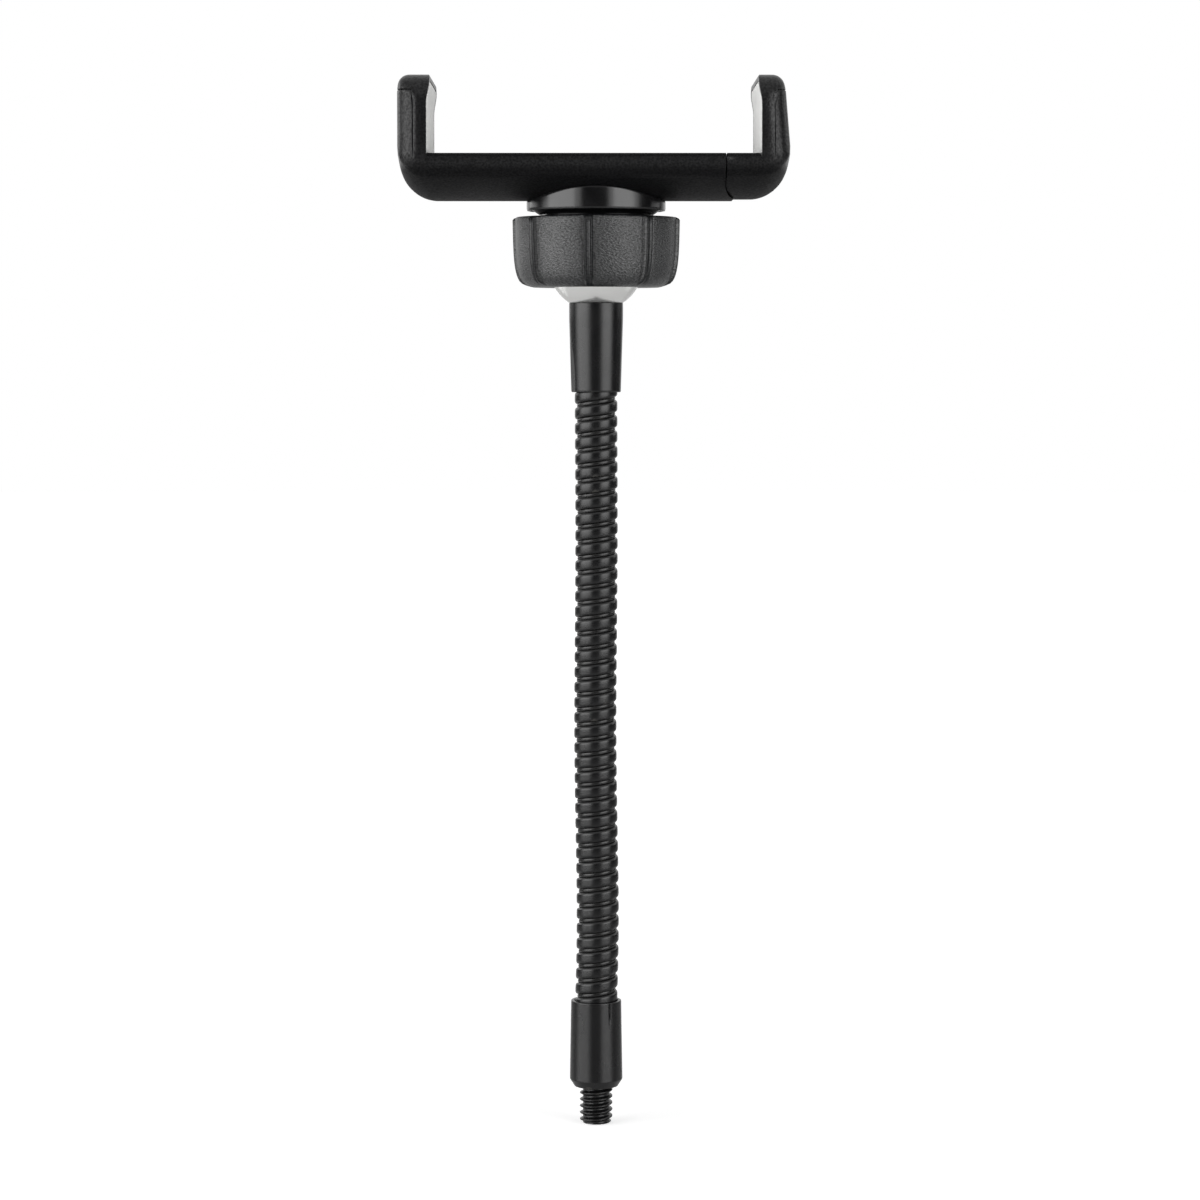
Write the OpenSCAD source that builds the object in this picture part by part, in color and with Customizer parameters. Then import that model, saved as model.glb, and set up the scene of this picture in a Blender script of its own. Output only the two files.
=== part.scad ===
// Gooseneck phone clamp, in millimetres. A sprung jaw slides in a moulded body, a ball joint with a
// ribbed nut carries the body, and a bendable wound neck joins it to a threaded stud.
// Upright frame: the origin is on the shoulder that the stud leaves, and the stud points down.

/* [Stud] */
// Outside diameter of the stud's thread
stud_d = 6.35; // [5:0.05:7.5]
// Diameter of the plain shank inside the ferrule
stud_shank_d = 5.6; // [4.4:0.1:6]
// Length of the stud below the ferrule
stud_len = 7.2; // [5:0.1:12]
// Length of the cone at the stud's tip
stud_lead = 0.8; // [0.3:0.1:1.5]

/* [Neck] */
// Outside diameter of the neck
neck_d = 8.05; // [7.2:0.05:10]
// Length of neck that shows between the ferrules
neck_len = 115.7; // [60:0.5:180]
// Rise of the windings in one turn
neck_pitch = 2.88; // [2.6:0.02:3.4]
// Diameter of the inner round wire
wire_d = 1.7; // [1.4:0.05:1.9]
// Height of round wire that shows between two bands
wire_show = 0.81; // [0.5:0.01:1]
// Depth of the round wire below the bands
wire_sink = 0.26; // [0.15:0.01:0.4]
// Length of neck inside each ferrule
neck_seat = 6; // [4:0.5:8]

/* [Ferrules] */
// Height of the lower ferrule
lower_h = 16.5; // [14:0.5:24]
// Wall of the lower ferrule at its mouth
lower_wall = 0.6; // [0.4:0.05:1.2]
// Extra diameter of the lower ferrule at its foot
lower_flare = 0.5; // [0:0.05:1]
// Height of the upper ferrule
upper_h = 16.7; // [14:0.5:24]
// Wall of the upper ferrule at its mouth
upper_wall = 0.5; // [0.4:0.05:1.2]
// Extra diameter of the upper ferrule at the ball
upper_flare = 0.8; // [0:0.05:1.2]
// Height of the straight band under its rim
upper_band = 3; // [1:0.5:6]
// Metal left between the neck and whatever fills the ferrule's other end
ferrule_web = 2; // [1:0.5:3]

/* [Ball joint] */
// Diameter of the ball
ball_d = 18.24; // [16:0.1:21]
// Diameter of the shank under the ball
shank_d = 5.6; // [4:0.1:6.5]
// Wall of the threaded collar at the ball's equator
collar_wall = 1.63; // [1.2:0.05:2.5]
// Depth of the collar's fingers below the ball's centre
finger_drop = 2; // [1:0.1:3]
// Width of the slots between the fingers
finger_slot = 1.5; // [0.8:0.1:2.5]
// Height of those slots above the ball's centre
slot_rise = 5.5; // [2:0.5:7]
// Diameter of the socket's flange
flange_d = 26.1; // [24:0.1:30]
// Height of the flange's side, down from the lowest line of the body's back
flange_h = 1.6; // [1:0.1:4]
// Height of the cone between flange and collar
flange_cone = 1.15; // [0.6:0.1:1.5]

/* [Clamp nut] */
// Height of the nut
nut_h = 13.1; // [12:0.1:16]
// Wall of the nut between its ribs
nut_wall = 4.5; // [3.5:0.1:6]
// Reach of the nut below the ball's centre
lip_drop = 4.7; // [4:0.1:5.2]
// Number of grip ribs
rib_n = 8; // [4:1:16]
// Width of a rib
rib_w = 2.1; // [1:0.1:4]
// Height of a rib above the panels between
rib_proud = 0.35; // [0.1:0.05:0.8]
// Turn of the first rib from the front
rib_turn = -5.5; // [-22:0.5:22]
// Radius of the nut's lower edge
nut_round = 2.4; // [1:0.1:3]
// Draw of the nut's side above that edge
nut_draw = 0.9; // [0:0.1:1.5]

/* [Clamp body] */
// Free space between the two jaws' faces, closed
jaw_gap = 61.4; // [55:0.1:80]
// Offset of that space from the ball's axis
gap_shift = -0.4; // [-3:0.1:3]
// Depth of body and jaws, front to back
depth = 36; // [34:0.5:44]
// Thickness of the body at its middle, cover included
body_t = 8.1; // [7.8:0.1:11]
// Height of the body's flat sides, cover included
side_h = 3.1; // [2.8:0.1:4]
// Radius of the lower corners at the jaws
corner_r = 7; // [3:0.5:7.5]
// Radius of the lower corner at the body's open end
end_r = 2.4; // [1:0.1:3]
// Radius of the jaws' upright edges
edge_r = 2.6; // [0.5:0.1:2.8]
// Thickness of the cover
cover_t = 1.6; // [1.2:0.1:2]
// Height of the cover above the body's rim
cover_proud = 0.65; // [0.3:0.05:0.9]
// Width of the rim around the cover
rim_w = 0.8; // [0.5:0.1:1.5]

/* [Jaws] */
// Height of the jaws above the cover
jaw_h = 14.5; // [12:0.5:22]
// Thickness of a jaw, face to back
jaw_t = 5.5; // [4.6:0.1:8]
// Thickness of a jaw's outer shell
jaw_shell = 3; // [2.4:0.1:3.4]
// Height of the cap above the outer shell
cap_h = 4.6; // [3.5:0.1:6]
// Radius of the cap's outer edge
cap_r = 1.1; // [0.5:0.1:1.5]
// Radius of the cap's corners, seen from the side
cap_corner = 5; // [2:0.5:8]
// Reach of the hook at the top of a jaw
hook = 0.8; // [0.3:0.1:1.5]
// Height at which the hook's curve starts
hook_start = 7.5; // [5:0.5:9]
// Lean of the sliding jaw's back at its top
slide_draft = 1.2; // [0:0.1:1.5]
// Thickness of the soft pads
pad_t = 1.5; // [1:0.1:1.8]
// Height of the pads above the jaws' faces
pad_proud = 0.2; // [0.2:0.05:0.8]
// Margin of jaw left at each end of a pad
pad_margin = 1.5; // [1:0.1:3]

/* [Slide] */
// Travel of the sliding jaw
travel = 30; // [15:1:31]
// Length of body that moves with the sliding jaw
slide_foot = 6.55; // [5:0.1:12]
// Step from the body's back up to the sliding jaw's
slide_lift = 0.3; // [0:0.05:0.5]
// Reach of the body's lip under the sliding jaw's lower corner
lip_reach = 1.8; // [0.5:0.1:2]
// Width of each rail of the sliding frame
rail_w = 4.1; // [3:0.1:4.5]
// Distance between the rails
rail_space = 17.9; // [17:0.1:19]
// Thickness of the sliding frame
rail_t = 2.5; // [2:0.1:2.8]
// Width of the bar that joins the rails inside the body
bar_w = 2.6; // [2:0.1:4]
// Width of the fixed block that the springs push against
block_w = 3; // [2:0.1:4]
// Width of solid body between the fixed jaw and the frame's bar
end_wall = 4; // [4:0.1:6]
// Diameter of the springs
spring_d = 3.4; // [3:0.1:3.6]
// Diameter of the springs' wire
spring_wire = 0.6; // [0.4:0.05:0.7]
// Turns in each spring
spring_turns = 15; // [10:1:18]
// Distance between the two springs
spring_space = 10; // [9:0.1:11]

/* [Screws] */
// Diameter of the screws' threads
screw_d = 2; // [1.6:0.1:2.2]
// Diameter of the countersunk heads
screw_head_d = 3.2; // [2.8:0.1:3.4]
// Height of the countersunk heads
screw_head_h = 0.9; // [0.7:0.1:1]
// Diameter of the heads of the socket's screws
socket_head_d = 3.8; // [3:0.1:4]
// Height of those heads
socket_head_h = 1.3; // [1:0.1:1.4]
// Length of those screws below the head
socket_screw_len = 6; // [4:0.5:8]
// Distance between those screws
socket_screw_space = 18; // [17:0.5:19]
// Length of the cover's screws inside the shell
cover_screw_grip = 2.2; // [1.5:0.1:2.4]
// Length of the liners' screws
liner_screw_len = 2.9; // [2:0.1:3]

/* [Clearances] */
// Gap around fixed seats
fit_gap = 0.05; // [0.03:0.01:0.1]
// Gap around turning shanks, threads and the ball in the nut
turn_gap = 0.06; // [0.03:0.01:0.1]
// Gap between ball and collar
cup_gap = 0.1; // [0.06:0.01:0.15]
// Gap around the neck in its ferrules
neck_gap = 0.15; // [0.1:0.01:0.25]
// Gap around the sliding frame
slide_gap = 0.25; // [0.15:0.01:0.3]
// Gap at the parting line of body and sliding jaw
part_gap = 0.2; // [0.1:0.01:0.3]
// Gap at the seams of the jaws
seam_gap = 0.12; // [0.05:0.01:0.2]
// Gap between the nut and the cone above it
nut_gap = 0.3; // [0.1:0.01:0.3]

/* [Hidden] */

black_metal = [0.09, 0.09, 0.10];
black_plastic = [0.12, 0.12, 0.12];
gloss_plastic = [0.07, 0.07, 0.08];
grey_pad = [0.70, 0.71, 0.72];
bright_metal = [0.80, 0.81, 0.82];
over = 1;
// How far a rounded edge's circle stands past the flat sides, so it crosses them at an angle
shy = 0.002;
edge_break = 0.4;
head_sink = 0.2;
cap_tuck = 2.2;
cap_lean = 0.35;
edge_sweep = 75;
foot_bevel = 1.5;
segments = 12;
spring_segments = 8;
round_fn = 96;

// Heights of the neck and its ferrules
neck_r = neck_d / 2;
neck_low = lower_h - neck_seat;
neck_high = lower_h + neck_len + neck_seat;
upper_low = lower_h + neck_len;
upper_rim = upper_low + upper_h;
lower_r = neck_r + neck_gap + lower_wall;
upper_r = neck_r + neck_gap + upper_wall;
upper_rim_r = upper_r + upper_flare / 2;

// Profile of the neck's windings
wire_r = wire_d / 2;
wire_ring_r = neck_r - wire_sink - wire_r;
band_w = neck_pitch - wire_show;
flank_reach = wire_r + fit_gap;
band_edge_r = wire_ring_r + sqrt(pow(flank_reach + 0.02, 2) - pow(wire_show / 2, 2));
edge_to_wire = [wire_ring_r - band_edge_r, -wire_show / 2];
flank_angle = atan2(edge_to_wire[1], edge_to_wire[0]) - asin(flank_reach / norm(edge_to_wire));
band_tip_r = band_edge_r + band_w / 2 / tan(flank_angle);

// Ball joint and nut
ball_r = ball_d / 2;
ball_z = upper_rim + sqrt(pow(ball_r + turn_gap, 2) - pow(upper_rim_r, 2));
cup_r = ball_r + cup_gap;
collar_r = cup_r + collar_wall;
thread_r = collar_r + turn_gap;
panel_r = thread_r + nut_wall;
nut_low = ball_z - lip_drop;
nut_high = nut_low + nut_h;
cone_low = nut_high + nut_gap;
flange_low = cone_low + flange_cone;

// Clamp body
back_z = flange_low + flange_h;
top_z = back_z + body_t;
ceiling_z = top_z - cover_t;
rim_z = top_z - cover_proud;
back_rise = body_t - side_h;
back_r = (pow(depth / 2, 2) + pow(back_rise, 2)) / (2 * back_rise);
left_x = gap_shift - jaw_gap / 2 - jaw_t;
right_x = gap_shift + jaw_gap / 2 + jaw_t;
part_x = right_x - jaw_t - slide_foot;
cover_x = left_x + jaw_t + fit_gap;
cover_y = depth / 2 - rim_w;
seam_v = jaw_h - cap_h;

// Sliding frame and springs
rail_high = ceiling_z - slide_gap;
rail_low = rail_high - rail_t;
rail_in = rail_space / 2;
rail_out = rail_in + rail_w;
cavity_x = left_x + jaw_t + end_wall;
bar_x = cavity_x + 2 * slide_gap;
block_x = part_x - block_w;
spring_z = ceiling_z - slide_gap - spring_d / 2;
spring_from = bar_x + bar_w + fit_gap;
spring_to = block_x - fit_gap;
spigot_r = spring_d / 2 - spring_wire - slide_gap / 2;
spigot_len = (block_x - bar_x - bar_w - travel) / 2 - fit_gap;

// Screws
cover_screw_y = (rail_out + slide_gap + cover_y) / 2;
cover_screw_xs = [(cover_x + cavity_x) / 2, part_x - 2 * screw_d];
recess_len = 0.8 * screw_d;
recess_w = 0.22 * screw_d;
recess_deep = 0.3 * screw_d;
boss_r = (socket_screw_space - socket_head_d) / 2 - 1;
boss_h = 1.2;
socket_seat_z = back_z + boss_h + 0.5;
liner_screw_v = seam_v / 2;
liner_screw_y = depth / 4;
pad_floor_u = jaw_t + pad_proud - pad_t;

// Points on an arc in a profile, first and last angle given
function arc(x, y, r, a0, a1, n = 6) =
    [for (i = [0:n]) [x + r * cos(a0 + (a1 - a0) * i / n), y + r * sin(a0 + (a1 - a0) * i / n)]];

// A smooth step from 0 to 1
function ease(s) = s <= 0 ? 0 : s >= 1 ? 1 : s * s * (3 - 2 * s);

// Distance of a jaw's face from its back, at height v above the cover
hook_end = jaw_h - edge_break - 1;
function face(v) = jaw_t + hook * ease((v - hook_start) / (hook_end - hook_start));

// Closed skin of a profile that is repeated as n rings of k points
function ring_faces(n, k) = concat(
    [[for (j = [0:k - 1]) j]],
    [for (i = [0:n - 2]) for (j = [0:k - 1])
        for (half = [0, 1])
            let (a = i * k + j, b = i * k + (j + 1) % k)
            half == 0 ? [a, a + k, b] : [b, a + k, b + k]],
    [[for (j = [k - 1:-1:0]) (n - 1) * k + j]]
);

// A profile of [radius, height] points wound about Z, rising right-handed
module winding(profile, z0, z1, pitch, n) {
    k = len(profile);
    rings = round((z1 - z0) / pitch * n) + 1;
    rise = (z1 - z0) / (rings - 1);
    points = [for (i = [0:rings - 1]) for (p = profile)
        let (a = 360 * i / n) [p[0] * cos(a), p[0] * sin(a), z0 + rise * i + p[1]]];
    polyhedron(points = points, faces = ring_faces(rings, k), convexity = 10);
}

// What a corner at the profile's origin loses to a radius r
module corner_cut(r) {
    difference() {
        translate([-over, -over]) square(r + over);
        translate([r, r]) circle(r = r, $fn = round_fn);
    }
}

// Profiles drawn in X and Z or in Y and Z, carried across the part
module across_y(width) {
    rotate([90, 0, 0]) linear_extrude(height = width, center = true) children();
}
module along_x(x0, x1) {
    translate([x0, 0, 0]) rotate([90, 0, 90]) linear_extrude(height = x1 - x0) children();
}

module threaded_stud() {
    shank = lower_h - neck_seat - ferrule_web;
    color(black_metal) rotate_extrude($fn = round_fn) polygon([
        [0, -stud_len], [stud_d / 2 - stud_lead, -stud_len], [stud_d / 2, -stud_len + stud_lead],
        [stud_d / 2, 0], [stud_shank_d / 2, 0], [stud_shank_d / 2, shank], [0, shank]
    ]);
}

module lower_ferrule() {
    bore = neck_r + neck_gap;
    foot_r = lower_r + lower_flare / 2;
    seat = lower_h - neck_seat - ferrule_web + fit_gap;
    color(black_metal) rotate_extrude($fn = round_fn) polygon([
        [stud_shank_d / 2 + fit_gap, fit_gap], [stud_d / 2 + fit_gap, fit_gap],
        [stud_d / 2 + fit_gap, 0], [foot_r - foot_bevel / 2, 0], [foot_r, foot_bevel],
        [lower_r, lower_h], [bore, lower_h], [bore, neck_low - fit_gap],
        [wire_ring_r - wire_r, neck_low - fit_gap], [wire_ring_r - wire_r, seat],
        [stud_shank_d / 2 + fit_gap, seat]
    ]);
}

module neck_strip() {
    color(black_metal) winding([
        [band_tip_r, 0], [band_edge_r, -band_w / 2], [neck_r, -band_w / 2 + 0.25],
        [neck_r, band_w / 2 - 0.25], [band_edge_r, band_w / 2]
    ], neck_low + band_w / 2, neck_high - band_w / 2, neck_pitch, segments);
}

module neck_coil() {
    color(black_metal) winding(
        [for (j = [0:4]) [wire_ring_r + wire_r * cos(72 * j), -wire_r * sin(72 * j)]],
        neck_low + band_w / 2 + neck_pitch / 2, neck_high - band_w / 2 - neck_pitch / 2,
        neck_pitch, segments);
}

module upper_ferrule() {
    bore = neck_r + neck_gap;
    shank_low = neck_high + ferrule_web;
    color(black_metal) difference() {
        rotate_extrude($fn = round_fn) polygon([
            [wire_ring_r - wire_r, neck_high + fit_gap], [bore, neck_high + fit_gap],
            [bore, upper_low], [upper_r - edge_break / 2, upper_low],
            [upper_r, upper_low + edge_break / 2], [upper_rim_r, upper_rim - upper_band],
            [upper_rim_r, upper_rim + over], [shank_d / 2 + turn_gap, upper_rim + over],
            [shank_d / 2 + turn_gap, shank_low], [wire_ring_r - wire_r, shank_low]
        ]);
        translate([0, 0, ball_z]) sphere(r = ball_r + turn_gap, $fn = round_fn);
    }
}

module ball_stud() {
    low = neck_high + ferrule_web + turn_gap;
    color(bright_metal) union() {
        translate([0, 0, ball_z]) sphere(r = ball_r, $fn = round_fn);
        translate([0, 0, low]) cylinder(d = shank_d, h = ball_z - low, $fn = round_fn);
    }
}

// Outline of the nut from its axis, out to the panels plus a given height
module nut_outline(proud) {
    r = panel_r + proud;
    foot = r - nut_draw - nut_round;
    polygon(concat(
        [[0, nut_low], [foot, nut_low]],
        arc(foot, nut_low + nut_round, nut_round, -edge_sweep, 0, 5),
        [[r, nut_low + nut_h / 2], [r, nut_high - edge_break],
            [r - edge_break, nut_high], [0, nut_high]]
    ));
}

module clamp_nut() {
    color(black_plastic) difference() {
        union() {
            rotate_extrude($fn = round_fn) nut_outline(0);
            intersection() {
                rotate_extrude($fn = round_fn) nut_outline(rib_proud);
                for (i = [0:rib_n - 1]) rotate(-90 + rib_turn + 360 * i / rib_n)
                    translate([thread_r + 1, -rib_w / 2, nut_low - over])
                        cube([nut_wall + 1, rib_w, nut_h + 2 * over]);
            }
        }
        translate([0, 0, ball_z]) sphere(r = ball_r + turn_gap, $fn = round_fn);
        translate([0, 0, ball_z - finger_drop - 2 * slide_gap])
            cylinder(r = thread_r, h = nut_h, $fn = round_fn);
    }
}

// The round back of the body, as a bar along X, grown by a gap
module back_bar(gap) {
    translate([-flange_d, 0, back_z + back_r]) rotate([0, 90, 0])
        cylinder(r = back_r + gap, h = 2 * flange_d, $fn = 2 * round_fn);
}

module ball_socket() {
    color(gloss_plastic) difference() {
        union() {
            difference() {
                translate([0, 0, flange_low]) cylinder(d = flange_d, h = body_t, $fn = round_fn);
                back_bar(fit_gap);
            }
            translate([0, 0, cone_low]) cylinder(
                r1 = collar_r, r2 = flange_d / 2 - edge_break, h = flange_cone, $fn = round_fn);
            translate([0, 0, ball_z - finger_drop])
                cylinder(r = collar_r, h = cone_low - ball_z + finger_drop, $fn = round_fn);
            translate([0, 0, flange_low]) cylinder(
                r = boss_r, h = back_z + boss_h - flange_low, $fn = round_fn);
        }
        translate([0, 0, ball_z]) sphere(r = cup_r, $fn = round_fn);
        for (a = [45, 135]) rotate(a)
            translate([-collar_r - over, -finger_slot / 2, ball_z - finger_drop - over])
                cube([2 * (collar_r + over), finger_slot, finger_drop + slot_rise + over]);
        at_socket_screws() translate([0, 0, -socket_screw_len - 2 * fit_gap])
            cylinder(d = screw_d + 2 * fit_gap, h = socket_screw_len + over, $fn = 32);
    }
}

// Places what goes with each of the socket's screws, with z = 0 under the head
module at_socket_screws() {
    for (s = [-1, 1]) translate([s * socket_screw_space / 2, 0, socket_seat_z]) children();
}

module socket_screws() {
    color(bright_metal) at_socket_screws() difference() {
        union() {
            translate([0, 0, -socket_screw_len])
                cylinder(d = screw_d, h = socket_screw_len + 2 * fit_gap, $fn = 32);
            translate([0, 0, fit_gap])
                cylinder(d = socket_head_d, h = socket_head_h - fit_gap, $fn = 48);
        }
        cross_slot(socket_head_h);
    }
}

// Cross recess cut down from height h
module cross_slot(h) {
    for (a = [45, 135]) rotate(a)
        translate([-recess_len / 2, -recess_w / 2, h - recess_deep])
            cube([recess_len, recess_w, recess_deep + over]);
}

// Rounds the upright edges at x = 0, drawn in by a draft above z = 0
module edge_cuts(low, draft) {
    for (s = [0, 1]) mirror([0, s, 0]) translate([-shy, -depth / 2 - shy, 0]) {
        translate([0, 0, low]) linear_extrude(height = -low) corner_cut(edge_r);
        rotate([0, atan(draft / jaw_h), 0]) linear_extrude(height = jaw_h + over) corner_cut(edge_r);
    }
}

// A moulding from x0 to x1 with the body's round back, lifted a little, flat sides and rounded
// lower corners, and an upright for the jaw at x0 that is drawn in over its height
module moulding(x0, x1, r0, r1, lift, draft) {
    low = back_z + lift;
    intersection() {
        across_y(depth + 2 * over) difference() {
            union() {
                translate([x0, low]) square([x1 - x0, rim_z - low]);
                polygon([
                    [x0, rim_z - over], [x0, top_z],
                    [x0 + draft * seam_v / jaw_h, top_z + seam_v - seam_gap],
                    [x0 + jaw_shell - cap_lean - fit_gap, top_z + seam_v - seam_gap],
                    [x0 + jaw_shell - fit_gap, top_z + seam_v - cap_tuck],
                    [x0 + jaw_shell - fit_gap, rim_z - over]
                ]);
            }
            translate([x0, low]) corner_cut(r0);
            translate([x1, low]) mirror([1, 0]) corner_cut(r1);
        }
        difference() {
            along_x(x0 - over, x1 + over) intersection() {
                translate([-depth / 2, low]) square([depth, body_t + jaw_h]);
                translate([0, low + back_r]) circle(r = back_r, $fn = 2 * round_fn);
            }
            translate([x0, 0, top_z]) edge_cuts(-body_t - over, draft);
        }
    }
}

// Seat of a plate in a moulding's top, from x0 to x1, and of the liner beside it
module plate_seat(x0, x1) {
    translate([x0, -cover_y - fit_gap, ceiling_z]) cube([x1 - x0, 2 * (cover_y + fit_gap), cover_t]);
}

module rear_shell() {
    bottom = ceiling_z - 2 * slide_gap - rail_t;
    color(black_plastic) union() {
        difference() {
            moulding(left_x, part_x + lip_reach, corner_r, edge_break / 2, 0, 0);
            // Room for the sliding jaw's foot, down to the lip
            across_y(depth + 2 * over) difference() {
                translate([part_x, back_z]) square([2 * end_r, body_t]);
                translate([part_x, back_z + slide_lift - part_gap]) corner_cut(end_r + part_gap);
            }
            // Seat of the cover and of the jaw's liner
            plate_seat(left_x + jaw_shell - fit_gap, part_x + over);
            translate([left_x + jaw_shell - fit_gap, -depth / 2 - over, ceiling_z])
                cube([jaw_t - jaw_shell + 2 * fit_gap, depth + 2 * over, cover_t]);
            // Room for the frame, whose rails leave through the open end
            for (s = [-1, 1]) translate([0, s * (rail_in + rail_out) / 2, 0])
                translate([cavity_x, -rail_w / 2 - slide_gap, bottom])
                    cube([part_x - cavity_x + over, rail_w + 2 * slide_gap, body_t]);
            translate([cavity_x, -rail_in, bottom]) cube([block_x - cavity_x, 2 * rail_in, body_t]);
            groove = spring_d + 2 * slide_gap;
            for (s = [-1, 1])
                translate([cavity_x, (s * spring_space - groove) / 2, spring_z - groove / 2])
                    cube([block_x - cavity_x, groove, body_t]);
            // Socket's boss and screws
            translate([0, 0, back_z - over])
                cylinder(r = boss_r + fit_gap, h = boss_h + over + fit_gap, $fn = round_fn);
            at_socket_screws() translate([0, 0, -body_t])
                cylinder(d = screw_d + 2 * fit_gap, h = 2 * body_t, $fn = 32);
            at_socket_screws() cylinder(d = socket_head_d + 2 * head_sink, h = body_t, $fn = 48);
            // Cover's screws
            for (x = cover_screw_xs, s = [-1, 1])
                translate([x, s * cover_screw_y, ceiling_z - cover_screw_grip - 2 * fit_gap])
                    cylinder(d = screw_d + 2 * fit_gap, h = body_t, $fn = 32);
            at_jaw(-1) liner_screw_holes();
        }
        // Spigots that hold the springs on the fixed block
        for (s = [-1, 1]) translate([block_x + over, s * spring_space / 2, spring_z])
            rotate([0, -90, 0]) cylinder(r = spigot_r, h = spigot_len + over, $fn = 32);
    }
}

module front_cover() {
    plate_z = ceiling_z + fit_gap;
    color(black_plastic) difference() {
        translate([cover_x, -cover_y, plate_z]) cube([part_x - cover_x, 2 * cover_y, top_z - plate_z]);
        for (x = cover_screw_xs, s = [-1, 1]) translate([x, s * cover_screw_y, 0]) {
            translate([0, 0, plate_z - over])
                cylinder(d = screw_d + 2 * fit_gap, h = cover_t + 2 * over, $fn = 32);
            translate([0, 0, top_z - screw_head_h - head_sink]) cylinder(
                d1 = screw_d + 2 * fit_gap, d2 = screw_head_d + 2 * fit_gap,
                h = screw_head_h, $fn = 48);
            translate([0, 0, top_z - head_sink - fit_gap])
                cylinder(d = screw_head_d + 2 * fit_gap, h = over, $fn = 48);
        }
    }
}

// A countersunk screw, head up at z = 0
module flat_screw(len) {
    difference() {
        union() {
            translate([0, 0, -screw_head_h])
                cylinder(d1 = screw_d, d2 = screw_head_d, h = screw_head_h, $fn = 48);
            translate([0, 0, -len]) cylinder(d = screw_d, h = len - screw_head_h / 2, $fn = 32);
        }
        cross_slot(0);
    }
}

module cover_screws() {
    color(bright_metal) for (x = cover_screw_xs, s = [-1, 1])
        translate([x, s * cover_screw_y, top_z - head_sink])
        flat_screw(cover_t + cover_screw_grip - head_sink);
}

// Places a jaw's piece: drawn with the jaw's back at x = 0 and the cover's top at z = 0
module at_jaw(side) {
    translate([side < 0 ? left_x : right_x, 0, top_z]) mirror([side < 0 ? 0 : 1, 0, 0]) children();
}

// Screws that go from under the pad into the jaw's shell
module at_liner_screws() {
    for (s = [-1, 1]) translate([pad_floor_u - fit_gap, s * liner_screw_y, liner_screw_v])
        rotate([0, 90, 0]) children();
}
module liner_screw_holes() {
    at_liner_screws() translate([0, 0, -liner_screw_len - 2 * fit_gap])
        cylinder(d = screw_d + 2 * fit_gap, h = liner_screw_len, $fn = 32);
}
module liner_screws() {
    color(bright_metal) at_liner_screws() flat_screw(liner_screw_len);
}

// The pad along a jaw's face, grown by a gap where it lies in the liner
module pad_solid(gap, front) {
    low = 0.3 - gap;
    high = jaw_h - 1.1 + gap;
    steps = 12;
    vs = [for (i = [0:steps]) low + (high - low) * i / steps];
    intersection() {
        across_y(depth - 2 * pad_margin + 2 * gap) polygon(concat(
            [for (v = vs) [face(v) + pad_proud - pad_t - gap, v]],
            [for (i = [steps:-1:0]) [face(vs[i]) + front, vs[i]]]
        ));
        jaw_side(pad_margin - gap);
    }
}

// Side view of a jaw with rounded top corners, drawn in by a margin
module jaw_side(margin) {
    width = depth - 2 * margin;
    high = jaw_h - margin / 2;
    along_x(-over, jaw_t + 3 * over) difference() {
        translate([-width / 2, -cover_t]) square([width, high + cover_t]);
        for (s = [0, 1]) mirror([s, 0]) translate([-width / 2, high]) mirror([0, 1])
            corner_cut(cap_corner);
    }
}

// Inner half of a jaw: the liner behind the pad, and the cap over the whole jaw with its hook
module jaw_liner(draft) {
    steps = 8;
    lip = jaw_t + hook;
    seam_in = draft * seam_v / jaw_h;
    vs = [for (i = [0:steps]) hook_end - (hook_end - hook_start) * i / steps];
    color(black_plastic) difference() {
        intersection() {
            across_y(depth) polygon(concat(
                [[jaw_shell, fit_gap - cover_t], [jaw_shell, seam_v - cap_tuck],
                    [jaw_shell - cap_lean, seam_v], [seam_in, seam_v]],
                arc(draft + cap_r, jaw_h - cap_r, cap_r, 180, 90),
                arc(lip - edge_break, jaw_h - edge_break, edge_break, 90, 0, 3),
                [for (v = vs) [face(v), v]],
                [[jaw_t, fit_gap - cover_t]]
            ));
            jaw_side(0);
        }
        edge_cuts(-over, draft);
        pad_solid(fit_gap, 2 * over);
        at_liner_screws() {
            translate([0, 0, -jaw_t]) cylinder(d = screw_d + 2 * fit_gap, h = jaw_t, $fn = 32);
            translate([0, 0, -screw_head_h]) cylinder(
                d1 = screw_d + 2 * fit_gap, d2 = screw_head_d + 2 * fit_gap,
                h = screw_head_h + fit_gap, $fn = 48);
        }
    }
}

module fixed_jaw_liner() { at_jaw(-1) jaw_liner(0); }
module fixed_liner_screws() { at_jaw(-1) liner_screws(); }
module fixed_jaw_pad() { color(grey_pad) at_jaw(-1) pad_solid(0, pad_proud); }
module sliding_jaw_liner() {
    plate_low = fit_gap - cover_t;
    at_jaw(1) {
        jaw_liner(slide_draft);
        // Plate over the foot of the sliding jaw
        color(black_plastic) translate([jaw_t - edge_break, -cover_y, plate_low])
            cube([slide_foot - part_gap + edge_break, 2 * cover_y, -plate_low]);
    }
}
module sliding_liner_screws() { at_jaw(1) liner_screws(); }
module sliding_jaw_pad() { color(grey_pad) at_jaw(1) pad_solid(0, pad_proud); }

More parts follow.
